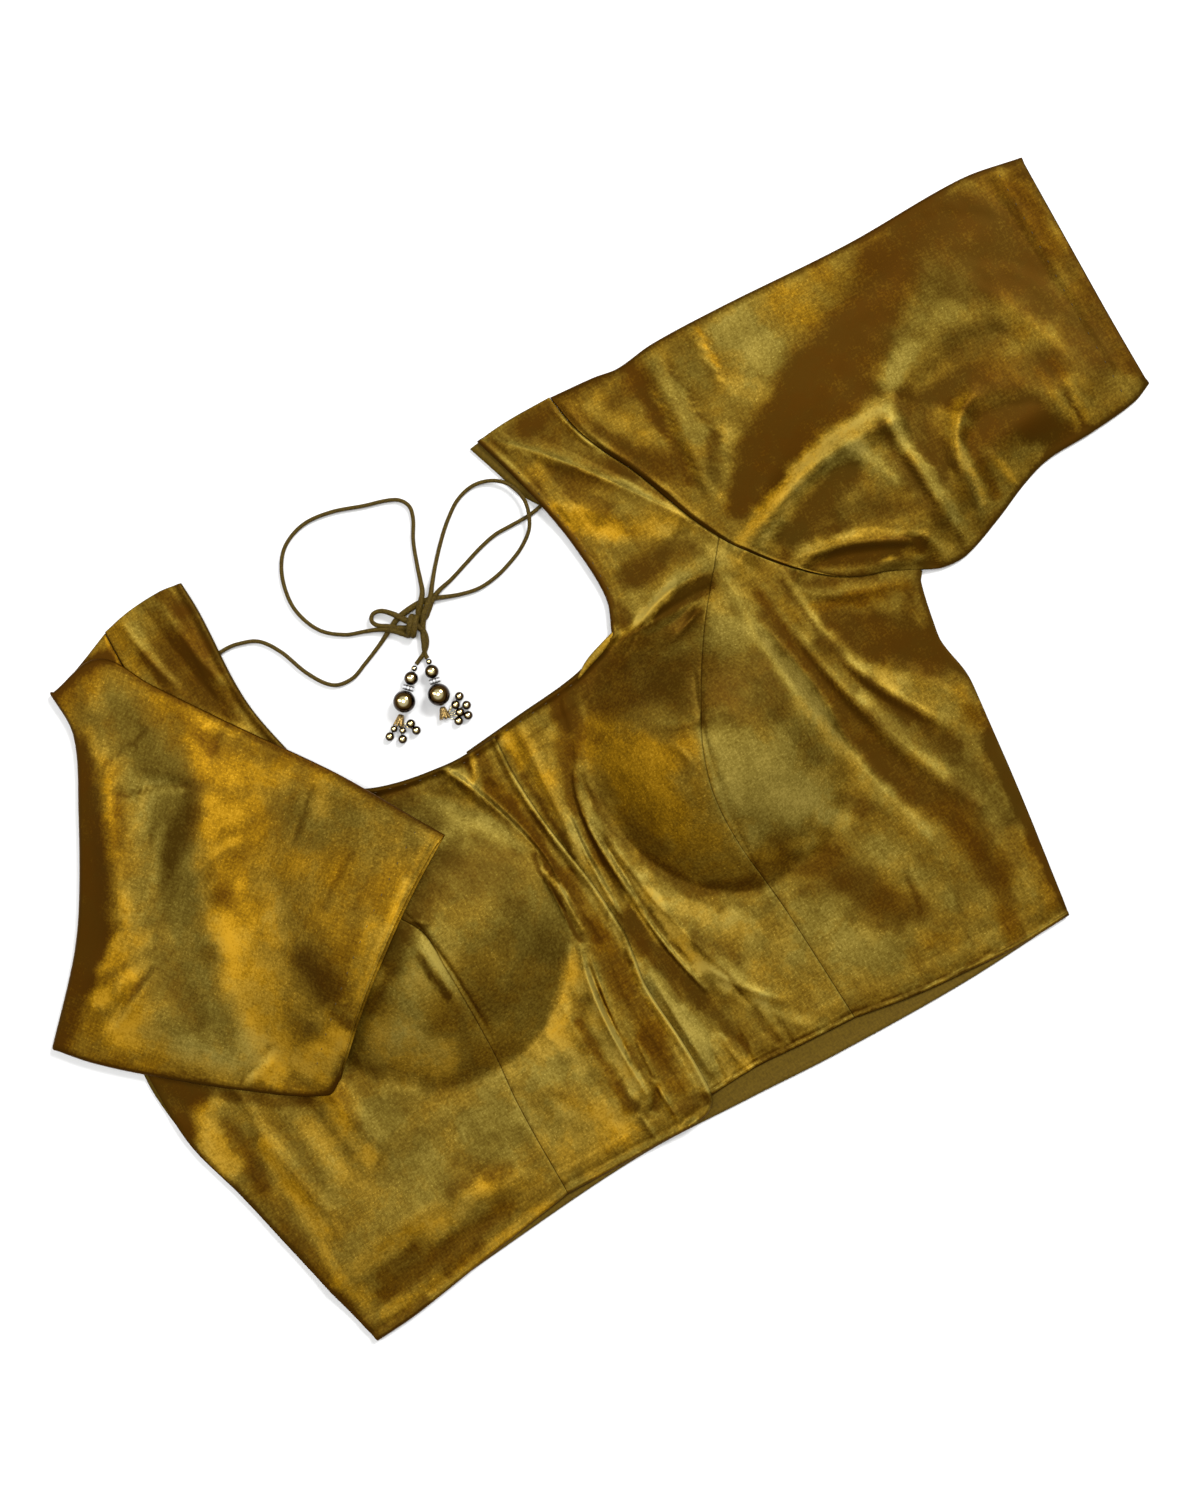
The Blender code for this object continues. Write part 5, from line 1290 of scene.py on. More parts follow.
FOLDED_PAINTED_SHINE_AND_SHADE = [
    # painted shade along the turned edge, the olive band, and painted shine in the gold towards the cuff
    (-184, 344, -202, 300, 8, -0.46, 0.10),
    (-202, 300, -226, 262, 11, -0.50, 0.10),
    (-228, 258, -268, 224, 10, -0.60, 0.10),
    (-176, 374, -146, 374, 5, -0.16, 0.10),
    (-173, 346, -174, 332, 4, 0.24, 0.30),
    (-178, 318, -196, 288, 4, 0.14, 0.25),
    (-202, 262, -240, 230, 6, 0.20, 0.25),
    (-156, 370, -162, 356, 5, 0.10, 0.20),
    (-156, 348, -158, 306, 17, 0.00, -0.75),
    (-158, 306, -184, 256, 19, 0.02, -0.75),
    (-184, 256, -202, 196, 21, 0.04, -0.75),
    (-202, 196, -192, 162, 14, 0.06, -0.70),
    (-158, 346, -154, 334, 8, -0.12, 0.00),
    (-176, 310, -152, 302, 1.3, -0.26, 0.00),
    (-152, 302, -143, 296, 1.3, -0.26, 0.00),
    (-176, 328, -146, 332, 1.2, -0.20, 0.00),
    (-125, 304, -104, 314, 1.3, -0.14, 0.00),
    (-238, 212, -208, 226, 1.3, -0.26, 0.00),
    (-200, 152, -178, 158, 1.3, -0.26, 0.00),
    (-130, 160, -127, 152, 1.4, -0.24, 0.00),
    (-138, 158, -134, 147, 1.4, -0.20, 0.00),
    (-108, 244, -88, 262, 1.6, -0.16, 0.00),
    (-112, 206, -88, 222, 2.0, -0.14, 0.00),
    (-168, 306, -152, 290, 6, 0.08, 0.00),
    (-140, 294, -165, 276, 5, -0.16, -0.10),
    (-182, 266, -166, 284, 4, 0.16, 0.00),
    (-174, 292, -156, 304, 5, 0.14, 0.00),
    (-165, 276, -192, 244, 6, -0.12, -0.10),
    (-200, 232, -203, 190, 7, -0.16, 0.00),
    (-136, 348, -120, 322, 5, 0.10, 0.20),
    (-128, 316, -134, 298, 5, 0.10, 0.25),
    (-140, 284, -158, 258, 6, 0.12, 0.20),
    (-162, 246, -168, 216, 6, 0.16, 0.20),
    (-160, 226, -166, 190, 13, 0.44, 0.20),
    (-166, 190, -178, 158, 15, 0.50, 0.15),
    (-240, 206, -206, 168, 8, 0.40, -0.10),
    (-216, 244, -204, 240, 6, 0.20, 0.10),
    (-240, 224, -220, 198, 6, 0.16, 0.10),
    (-244, 240, -230, 232, 5, -0.20, 0.10),
    (-124, 290, -100, 276, 7, 0.08, 0.10),
    (-142, 252, -116, 250, 5, -0.08, 0.00),
    (-146, 272, -118, 270, 5, 0.10, 0.10),
    (-124, 248, -116, 232, 12, 0.16, 0.20),
    (-134, 282, -130, 268, 5, 0.16, 0.10),
    (-150, 260, -136, 259, 3, 0.20, 0.10),
    (-146, 236, -144, 200, 6, 0.16, 0.10),
    (-144, 200, -150, 166, 6, 0.20, 0.10),
    (-128, 336, -122, 306, 4, -0.20, 0.10),
    (-126, 214, -120, 196, 12, 0.10, 0.10),
    (-138, 188, -130, 166, 8, -0.20, 0.00),
    (-152, 214, -150, 190, 7, -0.08, 0.00),
    (-164, 142, -144, 144, 8, 0.80, 0.20),
    (-200, 160, -184, 140, 3, 0.16, 0.00),
    (-92, 250, -84, 262, 5, 0.18, 0.10),
    (-180, 374, -140, 377, 3, -0.30, 0.20),
    (-162, 130, -152, 137, 4, 0.40, 0.10),
    (-118, 318, -108, 306, 3, 0.26, 0.10),
    (-240, 226, -210, 229, 4, 0.26, 0.10),
    (-160, 310, -146, 296, 3, 0.18, 0.00),
    (-160, 236, -156, 224, 6, -0.24, 0.00),
    (-197, 156, -185, 152, 3, -0.26, 0.00),
    (-240, 241, -212, 255, 4, -0.22, 0.10),
    (-190, 290, -176, 310, 4, -0.18, 0.10),
    (-170, 268, -146, 282, 5, -0.22, 0.00),
    (-206, 158, -180, 148, 6, 0.24, 0.10),
    (-226, 216, -238, 206, 9, 0.10, 0.10),
    (-98, 254, -58, 214, 17, -0.05, -0.50),
    (-112, 190, -84, 206, 9, -0.04, -0.10),
    (-128, 152, -72, 194, 3, 0.22, 0.00),
    (-124, 162, -96, 184, 5, 0.14, 0.00),
    (-146, 158, -130, 160, 5, 0.20, 0.00),
    (-158, 238, -146, 226, 6, -0.18, 0.00),
    (-180, 216, -162, 206, 6, -0.14, 0.00),
    (-140, 206, -134, 228, 6, 0.18, 0.00),
    (-232, 212, -224, 206, 6, 0.12, 0.00),
]


DEEPEST_PAINTED_SHADE = 0.38
BRIGHTEST_PAINTED_SHINE = 0.50
# Painted shade along the cloth's edges: its depth, and its width in mm.
EDGE_PAINTED_SHADE = 0.40
EDGE_WIDTH = 2.3


def paint_shine_and_shade(made, painted_shine_and_shade, edges=()):
    """Stores each point's painted shine and shade, with painted shade along the given edges, and its warmth,
    a little uneven, for the cloth's colour.
    """
    mesh = made.data
    points = np.zeros(len(mesh.vertices) * 3)
    mesh.vertices.foreach_get("co", points)
    points = (points.reshape(-1, 3) - np.array(hem_middle)) / MM
    x, y = points[:, 0], points[:, 1]
    border = np.full(x.shape, 1e9)
    for edge in edges:
        border = np.minimum(border, near_curve(x, y, edge)[0])
    x, y = (
        x + 1.8 * ripple(x, y, 19, 0.7) + 0.9 * ripple(x, y, 7, 1.9),
        y + 1.8 * ripple(x, y, 17, 2.9) + 0.9 * ripple(x, y, 6, 0.3),
    )
    painted_light_levels, warmths = np.zeros(len(points)), np.zeros(len(points))
    last_end, last_share = None, 0
    for x0, y0, x1, y1, width, painted_light_level, warmth in painted_shine_and_shade:
        distance = near_curve(x, y, np.array([(x0, y0), (x1, y1)], float))[0]
        share = np.exp(-((distance / width) ** 3.0))
        if (x0, y0) == last_end:
            share *= 1 - last_share
        last_end, last_share = (x1, y1), share
        painted_light_levels += painted_light_level * share
        warmths += warmth * share
    # The painted shine and shade are capped softly, and painted shade is added within EDGE_WIDTH of the
    # edges.
    limit = np.where(painted_light_levels > 0, BRIGHTEST_PAINTED_SHINE, DEEPEST_PAINTED_SHADE)
    painted_light_levels = limit * np.tanh(painted_light_levels / limit) - EDGE_PAINTED_SHADE * np.exp(-((border / EDGE_WIDTH) ** 2))
    for name, values in (("painted_light_level", painted_light_levels), ("warmth", warmths)):
        mesh.attributes.new(name, "FLOAT", "POINT").data.foreach_set("value", values.astype(np.float32))


def wall(bm, thickness):
    """Gives a surface a vertical thickness downwards and closes its rim."""
    below = bmesh.ops.extrude_face_region(bm, geom=bm.faces[:])["geom"]
    lowered = [part for part in below if isinstance(part, bmesh.types.BMVert)]
    bmesh.ops.translate(bm, verts=lowered, vec=(0, 0, -thickness))
    for vertex in lowered:
        vertex.co.z = max(vertex.co.z, 0.0)
    bmesh.ops.recalc_face_normals(bm, faces=bm.faces)


# Edges of the body's cloth that get painted shade along them.
BORDERS = [fine(line) for line in (
    NECK_LEFT_FRONT, NECK_LEFT_SIDE, NECK_RIGHT_FRONT, NECK_RIGHT_SIDE, SIDE_LEFT, SIDE_RIGHT,
)]


def cloth(name, patches, height, seams, hems, finish, node, thickness=1.1, doubled=()):
    """A cloth panel: patches laid in plan, welded, lifted to a height field and given a thickness."""
    bm = bmesh.new()
    for points in patches:
        add_grid(bm, points)
    bmesh.ops.remove_doubles(bm, verts=bm.verts, dist=0.02)
    plan = np.array([vertex.co[:2] for vertex in bm.verts])
    x, y = plan[:, 0], plan[:, 1]
    seams = [fine(seam) for seam in seams]
    hems = [fine(hem) for hem in hems]
    doubled = [fine(edge) for edge in doubled]
    z = height(x, y) + seam_and_hem(x, y, seams, hems, doubled) + CLOTH
    for vertex, level in zip(bm.verts, z):
        vertex.co.z = level
    wall(bm, thickness)
    made = add_mesh(name, bm, finish)
    paint_shine_and_shade(made, BODY_PAINTED_SHINE_AND_SHADE, BORDERS)
    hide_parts(node)
    area = sum(face.area for face in made.data.polygons) / 2
    return made, area


# Fronts: each is cut in two and joined by a princess seam over the cup. The right front laps over
# the left at the hooked centre opening, and its lower corner is rounded.
STEP = 1.7
CENTRE_STEP = 1.3


def body_and_strap(edges, neck_first):
    """Plan patches of a centre front: the body, and the strap that stands on part of its top edge."""
    start, end, under, strap_base, neck, strap_start, strap_end, shoulder = edges
    split_neck = stops(length_of(neck), CENTRE_STEP, neck_first, not neck_first)
    split_base = stops(length_of(strap_base), CENTRE_STEP, False, False)
    order = [(neck, split_neck), (strap_base, split_base)]
    if not neck_first:
        order.reverse()
    (one, one_shares), (two, two_shares) = order
    top = np.vstack([one, two[1:]])
    share = length_of(one) / (length_of(one) + length_of(two))
    u = np.concatenate([one_shares * share, (share + two_shares * (1 - share))[1:]])
    v = stops(length_of(start), CENTRE_STEP)
    body = coons(start, end, under, top, u, v)
    strap_v = stops(length_of(strap_start), CENTRE_STEP, False)
    strap = coons(strap_start, strap_end, strap_base, shoulder, split_base, strap_v)
    return [body, strap]


left_centre, left_centre_area = cloth(
    "shown_front_left_centre",
    body_and_strap((
        fine(UNDERLAP_EDGE), fine(PRINCESS_LEFT), fine(HEM_LEFT_CENTRE), straight((84, 248), (158, 262)),
        fine(NECK_LEFT_FRONT), fine(NECK_LEFT_SIDE), fine(ARMHOLE_LEFT_HIGH), fine(SHOULDER_LEFT),
    ), neck_first=True),
    front_height, [PRINCESS_LEFT, ARMHOLE_LEFT_HIGH], [NECK_LEFT_FRONT, NECK_LEFT_SIDE, HEM_LEFT_CENTRE],
    body_tissue, "front_left_centre", doubled=[HEM_LEFT_CENTRE],
)
SIDE_FRONT_WIDTH = 122.0
SIDE_FRONT_HEIGHT = 230.0
side_u = stops(SIDE_FRONT_WIDTH, STEP)
side_v = stops(SIDE_FRONT_HEIGHT, STEP)
left_side, left_side_area = cloth(
    "shown_front_left_side",
    [coons(
        fine(PRINCESS_LEFT), fine(SIDE_LEFT), fine(HEM_LEFT_SIDE), fine(ARMHOLE_LEFT_LOW), side_u, side_v,
    )],
    front_height, [PRINCESS_LEFT, ARMHOLE_LEFT_LOW, SIDE_LEFT], [HEM_LEFT_SIDE],
    body_tissue, "front_left_side", doubled=[HEM_LEFT_SIDE],
)
right_centre, right_centre_area = cloth(
    "shown_front_right_centre",
    body_and_strap((
        fine(PRINCESS_RIGHT), fine(LAP_EDGE), fine(HEM_RIGHT_CENTRE), straight((-161, 265), (-84, 262)),
        fine(NECK_RIGHT_FRONT), fine(ARMHOLE_RIGHT_HIGH), fine(NECK_RIGHT_SIDE), fine(SHOULDER_RIGHT),
    ), neck_first=False),
    lap_height, [PRINCESS_RIGHT, ARMHOLE_RIGHT_HIGH],
    [NECK_RIGHT_FRONT, NECK_RIGHT_SIDE, HEM_RIGHT_CENTRE, LAP_EDGE], body_tissue, "front_right_centre",
)
SIDE_DART = [(-138, 137), (-138, 98), (-131, 60), (-121, 46)]
right_side, right_side_area = cloth(
    "shown_front_right_side",
    [coons(
        fine(SIDE_RIGHT), fine(PRINCESS_RIGHT), fine(HEM_RIGHT_SIDE), fine(ARMHOLE_RIGHT_LOW), side_u, side_v,
    )],
    front_height, [PRINCESS_RIGHT, ARMHOLE_RIGHT_LOW, SIDE_RIGHT, SIDE_DART], [HEM_RIGHT_SIDE],
    body_tissue, "front_right_side",
)


# Back: one flat panel with two straps, the same cloth. Its matt inside shows below the front hem
# and inside the neck edges, where the ties are sewn in.
inside_finish, tree, shader = new_material("olive_inside", (0.10, 0.06, 0.005), 0.7, 0.2)
threads = tree.nodes.new("ShaderNodeGroup")
threads.node_tree = weave
tree.links.new(object_place(tree), threads.inputs["Vector"])
shades = add_ramp(
    tree, threads.outputs["Speckle"], (0.3, (0.060, 0.034, 0.0016)), (0.7, (0.125, 0.075, 0.0050))
)
tree.links.new(shades, shader.inputs["Base Color"])
add_bump(tree, shader, threads.outputs["Height"], 0.4, 0.00015)
shader.inputs["Specular IOR Level"].default_value = 0.1

BACK_HEM = [(-211, 0), (-138, 6), (-45, 10), (20.6, 5.6), (69, 1.6), (145, -1.5), (210, 0)]
BACK_TOP = [(-161, 265), (-97, 264), (-60, 236), (-20, 228), (30, 229), (70, 236), (98, 266), (158, 262)]
BACK_SIDE_RIGHT = SIDE_RIGHT + ARMHOLE_RIGHT_LOW[1:]
BACK_SIDE_LEFT = SIDE_LEFT + ARMHOLE_LEFT_LOW[::-1][1:]
BACK_NECK_RIGHT = [(-97, 264), (-97, 280), (-102, 318), (-99, 350), (-97, 388)]
BACK_NECK_LEFT = [(98, 266), (97, 297), (90, 320), (82, 335), (78, 349), (72, 369)]
RIGHT_STRAP_WIDTH = 64.0
LEFT_STRAP_WIDTH = 60.1
STRAP_STEPS = 16
NECK_STEPS = 89
BACK_LENGTH = 260.0
STRAP_LENGTH = 120.0
BACK_STEP = 4.0
right_base = straight(*BACK_TOP[:2])
left_base = straight(*BACK_TOP[-2:])
back_top = np.vstack([right_base, fine(BACK_TOP[1:-1])[1:], left_base[1:]])
low_share = RIGHT_STRAP_WIDTH / length_of(back_top)
high_share = 1 - LEFT_STRAP_WIDTH / length_of(back_top)
back_u = np.concatenate([
    np.linspace(0, low_share, STRAP_STEPS + 1),
    np.linspace(low_share, high_share, NECK_STEPS + 1)[1:-1],
    np.linspace(high_share, 1, STRAP_STEPS + 1),
])
back_v = stops(BACK_LENGTH, BACK_STEP)
strap_u = np.linspace(0, 1, STRAP_STEPS + 1)
strap_v = stops(STRAP_LENGTH, BACK_STEP, False)
back_patches = [
    coons(fine(BACK_SIDE_RIGHT), fine(BACK_SIDE_LEFT), fine(BACK_HEM), back_top, back_u, back_v),
    coons(
        fine(ARMHOLE_RIGHT_HIGH), fine(BACK_NECK_RIGHT), right_base,
        fine([(-139, 387), (-121, 390), (-97, 388)]), strap_u, strap_v,
    ),
    coons(
        fine(BACK_NECK_LEFT), fine(ARMHOLE_LEFT_HIGH), left_base,
        fine([(72, 369), (96, 371), (121, 370)]), strap_u, strap_v,
    ),
]


def on_the_surface(x, y):
    return np.zeros(x.shape)


back, back_area = cloth(
    "shown_back_panel", back_patches, on_the_surface, [], [BACK_HEM, BACK_NECK_RIGHT, BACK_NECK_LEFT],
    inside_finish, "back_panel", thickness=1.15,
)


# Sleeves: each is a flattened tube with a turned cuff. The left is spread out on the surface. The
# right goes out from its armhole, folds over, and lies back over the right front with its cuff on
# the cup.
LEFT_TOP = [
    (121, 370), (146, 367), (159, 364.5), (181, 366), (223, 363.5), (294, 357), (362, 355), (395, 348),
]
LEFT_UNDER = [
    (240, 196), (244, 190), (253, 187), (264, 187), (286, 194), (309, 203), (325.5, 207), (351.5, 207),
    (379, 209), (390, 213),
]
LEFT_CUFF = [(390, 213), (391, 253), (392.6, 292), (395, 348)]
FOLD_LINE = [(-276, 217), (-242, 251), (-225, 273), (-200, 314), (-181, 350), (-180, 376)]
BEFORE_TOP = [(-139, 387), (-164.5, 379), (-180, 376)]
BEFORE_UNDER = [(-240, 192), (-258, 204), (-276, 217)]
AFTER_TOP = [(-180, 376), (-149, 377), (-132.5, 351), (-109, 314), (-74, 260.5), (-42, 205)]
AFTER_UNDER = [(-276, 217), (-262, 201), (-242.5, 182), (-202, 147), (-166, 122), (-155, 126)]
AFTER_CUFF = [(-155, 126), (-124, 151), (-92, 174), (-66, 191), (-42, 205)]
CUFF_WIDTH = 136.0
LEFT_LENGTH = 235.0
AFTER_LENGTH = 190.0
EDGE_ROLL = 1.5
SLEEVE_PUFF = 7.0
FOLDED_PUFF = 5.0
FOLD_OUTWARD = np.array((-0.81, 0.586))
AFTER_CUFF_OUTWARD = np.array((0.573, -0.819))
STACK = 2 * CLOTH + SEAM_GAP
FOLD_AXIS = STACK + SEAM_GAP / 2
DRAPE_SPREAD = 1.32
DRAPE_LIFT = 2.0
CUFF_SET_BACK = 1.3
CUFF_OPEN = 0.8
CUFF_MOUTH = 12.0
CUFF_HEM_LEFT = 17.0
CUFF_HEM_RIGHT = 15.0
FLAT_RINGS = 14
FOLD_TURN_STEPS = 12

FOLDED_FOLDS = [
    # start x, y, bend x, y, end x, y, left, right, height
    (-168, 350, -190, 300, -214, 238, 9.0, 14.0, 3.2),
    (-150, 352, -176, 286, -204, 190, 13.0, 13.0, -3.2),
    (-128, 330, -136, 286, -176, 196, 12.0, 12.0, 3.4),
    (-104, 306, -116, 262, -150, 190, 12.0, 14.0, -2.0),
    (-149, 377, -162, 366, -180, 350, 2.0, 3.0, 1.4),
    (-102, 315, -114, 311, -126, 303, 1.4, 2.4, -1.3),
    (-142, 295, -152, 304, -178, 311, 1.2, 2.6, -1.3),
    (-146, 333, -160, 331, -178, 327, 1.2, 2.4, -0.9),
    (-87, 263, -98, 254, -110, 243, 1.6, 3.0, -1.0),
    (-86, 223, -100, 214, -114, 205, 2.0, 3.4, -0.9),
    (-126, 151, -127, 156, -131, 162, 1.2, 2.0, -0.9),
    (-133, 146, -135, 152, -139, 159, 1.2, 2.0, -0.8),
    (-147, 140, -152, 146, -158, 150, 1.6, 2.4, -0.8),
    (-177, 158, -190, 155, -202, 151, 1.3, 3.0, -1.4),
    (-178, 152, -190, 149, -200, 146, 2.0, 2.4, 1.0),
    (-207, 227, -222, 220, -240, 212, 1.3, 3.0, -1.2),
    (-208, 220, -232, 212, -252, 206, 2.4, 4.0, 1.2),
    (-92, 250, -104, 214, -132, 172, 10.0, 14.0, 2.0),
    (-78, 262, -74, 240, -70, 226, 6.0, 8.0, 1.6),
    (-232, 236, -220, 200, -196, 160, 12.0, 12.0, 2.4),
]


def drape_height(x, y):
    """Underside of the folded sleeve: on the front panels, draping a little wide over the cup."""
    return 2 * LAYER + (CUP_HEIGHT + DRAPE_LIFT) * cup_share(x, y, CUPS["right"], DRAPE_SPREAD)


def ring_of(lanes, width):
    """A flattened tube's outer and inner ring, as columns of (share across, height in its two layers)."""
    edge = EDGE_ROLL / width
    roll = [0.0, 0.12 * edge, 0.45 * edge]
    middle = np.linspace(edge, 1 - edge, lanes)
    shares = np.concatenate([roll, middle, [1 - r for r in reversed(roll)]])
    bulge = np.sqrt(np.clip(1 - (1 - np.minimum(shares, 1 - shares) / edge) ** 2, 0, 1))
    bulge = np.where((shares > edge) & (shares < 1 - edge), 1.0, bulge)
    half = STACK / 2
    outer = [(s, half - half * b) for s, b in zip(shares, bulge)]
    outer += [(s, half + half * b) for s, b in list(zip(shares, bulge))[-2:0:-1]]
    inner_shares = edge * 0.9 + shares * (1 - 1.8 * edge)
    gap = SEAM_GAP / 2
    inner = [(s, half - gap * b) for s, b in zip(inner_shares, bulge)]
    inner += [(s, half + gap * b) for s, b in list(zip(inner_shares, bulge))[-2:0:-1]]
    return np.array(outer), np.array(inner)


def tube(name, stations, lanes, finish, node, painted_shine_and_shade, edges):
    """A cloth tube from its stations, each of which turns columns of (share, height) into points."""
    outer, inner = ring_of(lanes, CUFF_WIDTH)
    rows = [station(outer[:, 0], outer[:, 1]) for station in stations]
    rows += [station(inner[:, 0], inner[:, 1]) for station in reversed(stations)]
    table = np.array(rows + rows[:1])
    table = np.concatenate([table, table[:, :1]], axis=1)
    bm = bmesh.new()
    add_grid(bm, table)
    bmesh.ops.remove_doubles(bm, verts=bm.verts, dist=0.004)
    bmesh.ops.recalc_face_normals(bm, faces=bm.faces)
    made = add_mesh(name, bm, finish)
    paint_shine_and_shade(made, painted_shine_and_shade, edges)
    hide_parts(node)
    return made, sum(face.area for face in made.data.polygons) / 2


armhole_left = fine(ARMHOLE_LEFT_LOW[::-1] + ARMHOLE_LEFT_HIGH[1:])
left_cuff, left_under, left_top = fine(LEFT_CUFF), fine(LEFT_UNDER), fine(LEFT_TOP)


def ring_in_plan(start, end, under, top, u, share):
    """Plan points of one ring, a share u of the way along a flat tube, at shares across the tube."""
    order = np.argsort(share)
    points = np.empty((len(share), 2))
    points[order] = coons(start, end, under, top, np.array([u]), share[order])[:, 0]
    return points


def spread_station(u):
    """One ring of the spread sleeve: flat below, following the folds above."""
    def station(share, high):
        x, y = ring_in_plan(armhole_left, left_cuff, left_under, left_top, u, share).T
        upper = np.clip((high - CLOTH) / SEAM_GAP, 0, 1)
        fade = soft_step(np.minimum(share, 1 - share) / 0.22)
        edge_fade = soft_step(np.minimum(share, 1 - share) / 0.05)
        lift = (front_height(x, y) - LAYER) * edge_fade + SLEEVE_PUFF * fade * math.sin(math.pi * u)
        from_seam, from_cuff = u * LEFT_LENGTH, (1 - u) * LEFT_LENGTH
        pull = 0.8 * soft_step((1.05 - share) / 0.4)
        lift = lift - pull * math.exp(-((from_seam / 1.4) ** 1.3)) * edge_fade
        lift = lift + 0.7 * bump_at(from_seam, 3.0, 1.5) * edge_fade
        lift = lift + 0.4 * soft_step((CUFF_HEM_LEFT - from_cuff) / 2.5) * edge_fade
        near_cuff = soft_step(1 - from_cuff / CUFF_MOUTH)
        x = x - CUFF_SET_BACK * near_cuff * upper * edge_fade
        lift = lift + CUFF_OPEN * near_cuff * edge_fade
        return np.stack([x, y, high + upper * lift], axis=1)

    return station


lanes = 80
left_stops = stops(LEFT_LENGTH, STEP * 1.15)
left_stops = (SEAM_GAP + left_stops * (LEFT_LENGTH - SEAM_GAP)) / LEFT_LENGTH
sleeve_left, sleeve_left_area = tube(
    "shown_sleeve_left", [spread_station(u) for u in left_stops], lanes, sleeve_tissue, "sleeve_left",
    BODY_PAINTED_SHINE_AND_SHADE, (left_cuff, left_under, left_top),
)

armhole_right = fine(ARMHOLE_RIGHT_LOW + ARMHOLE_RIGHT_HIGH[1:])
fold = fine(FOLD_LINE) - FOLD_OUTWARD * FOLD_AXIS


def to_fold(points):
    """An edge line of the part before the fold, drawn in as the fold line is."""
    points = np.array(points, float)
    return fine(points - np.linspace(0, 1, len(points))[:, None] * FOLD_OUTWARD * FOLD_AXIS)


before_top, before_under = to_fold(BEFORE_TOP), to_fold(BEFORE_UNDER)
after_top = fine([tuple(fold[-1]), *AFTER_TOP[1:]])
after_under = fine([tuple(fold[0]), *AFTER_UNDER[1:]])
after_cuff = fine(AFTER_CUFF)


def before_station(u):
    """One ring of the flat part between the armhole and the fold."""
    def station(share, high):
        return np.column_stack([ring_in_plan(armhole_right, fold, before_under, before_top, u, share), high])

    return station


def turning_station(angle):
    """One ring of the fold, where the tube turns over round its fold line."""
    def station(share, high):
        arm = FOLD_AXIS - high
        points = at_shares(fold, share) + FOLD_OUTWARD * (arm * math.cos(angle))[:, None]
        return np.column_stack([points, FOLD_AXIS + arm * math.sin(angle)])

    return station


def after_station(u):
    """One ring of the part that lies over the front: its former underside is now on top."""
    def station(share, high):
        points = ring_in_plan(fold, after_cuff, after_under, after_top, u, share)
        x, y = points.T
        upper = np.clip((LAYER - high) / SEAM_GAP, 0, 1)
        edge_fade = soft_step(np.minimum(share, 1 - share) / 0.06)
        puff = FOLDED_PUFF * soft_step(np.minimum(share, 1 - share) / 0.25) * math.sin(math.pi * u)
        folds = (add_folds(x, y, FOLDED_FOLDS) + 0.3 * ripple(x, y, 38, 2.2)) * soft_step(u / 0.12)
        from_cuff = (1 - u) * AFTER_LENGTH
        hem = 0.4 * soft_step((CUFF_HEM_RIGHT - from_cuff) / 2.5) - 0.5 * bump_at(from_cuff, 3.2, 1.2)
        near_cuff = soft_step(1 - from_cuff / CUFF_MOUTH)
        lift = np.maximum(0, puff + (folds + hem + CUFF_OPEN * near_cuff) * edge_fade)
        back = CUFF_SET_BACK * near_cuff * (upper * edge_fade)[:, None] * AFTER_CUFF_OUTWARD
        return np.column_stack([points - back, drape_height(x, y) + STACK - high + upper * lift])

    return station


stations = [before_station(u) for u in np.linspace(0.012, 0.96, FLAT_RINGS)]
stations += [turning_station(a) for a in np.linspace(-math.pi / 2, math.pi / 2, FOLD_TURN_STEPS + 1)]
stations += [after_station(u) for u in stops(AFTER_LENGTH, STEP * 1.15, False)[1:]]
sleeve_right, sleeve_right_area = tube(
    "shown_sleeve_right", stations, lanes, folded_tissue, "sleeve_right", FOLDED_PAINTED_SHINE_AND_SHADE,
    (after_under, after_top),
)


# Hand stitches hold down the turned neck edges and the cuffs' hems, and the neck facing shows as a
# small rolled tab at the corner of the neckline.
def surface_of(*objects):
    """A function that gives a point of the uppermost of these surfaces at a place in plan."""
    trees = []
    for thing in objects:
        bm = bmesh.new()
        bm.from_mesh(thing.data)
        trees.append(BVHTree.FromBMesh(bm))
        bm.free()

    def above(x, y):
        start = to_frame(x, y, 200)
        hits = [tree.ray_cast(start, Vector((0, 0, -1)))[0] for tree in trees]
        return max((hit for hit in hits if hit is not None), key=lambda hit: hit.z, default=None)

    return above


thread_finish, tree, shader = new_material("thread", (0.055, 0.032, 0.004), 0.7)
STITCH = 1.8
THREAD = 0.22
STITCH_INSET = 3.4
TAB_STEPS = 16
TAB_SIDES = 12


def stitch_line(name, line, inset, spacing, above):
    """Short stitches at a distance to the left of a line, lying on the cloth."""
    bm = bmesh.new()
    for share in np.arange(spacing / 2, length_of(line), spacing) / length_of(line):
        here, ahead = at_shares(line, [share, share + 0.004])
        way = (ahead - here) / np.linalg.norm(ahead - here)
        spot = here + inset * np.array((-way[1], way[0]))
        point = above(*spot)
        if point is None:
            continue
        made = bmesh.ops.create_icosphere(bm, subdivisions=1, radius=1)["verts"]
        shape = Matrix.Diagonal((STITCH / 2, THREAD, THREAD))
        bmesh.ops.transform(bm, verts=made, matrix=(
            Matrix.Translation((spot[0], spot[1], point.z / MM + 0.05))
            @ Matrix.Rotation(math.atan2(way[1], way[0]), 4, "Z") @ shape.to_4x4()
        ))
    made = add_mesh(name, bm, thread_finish)
    return made


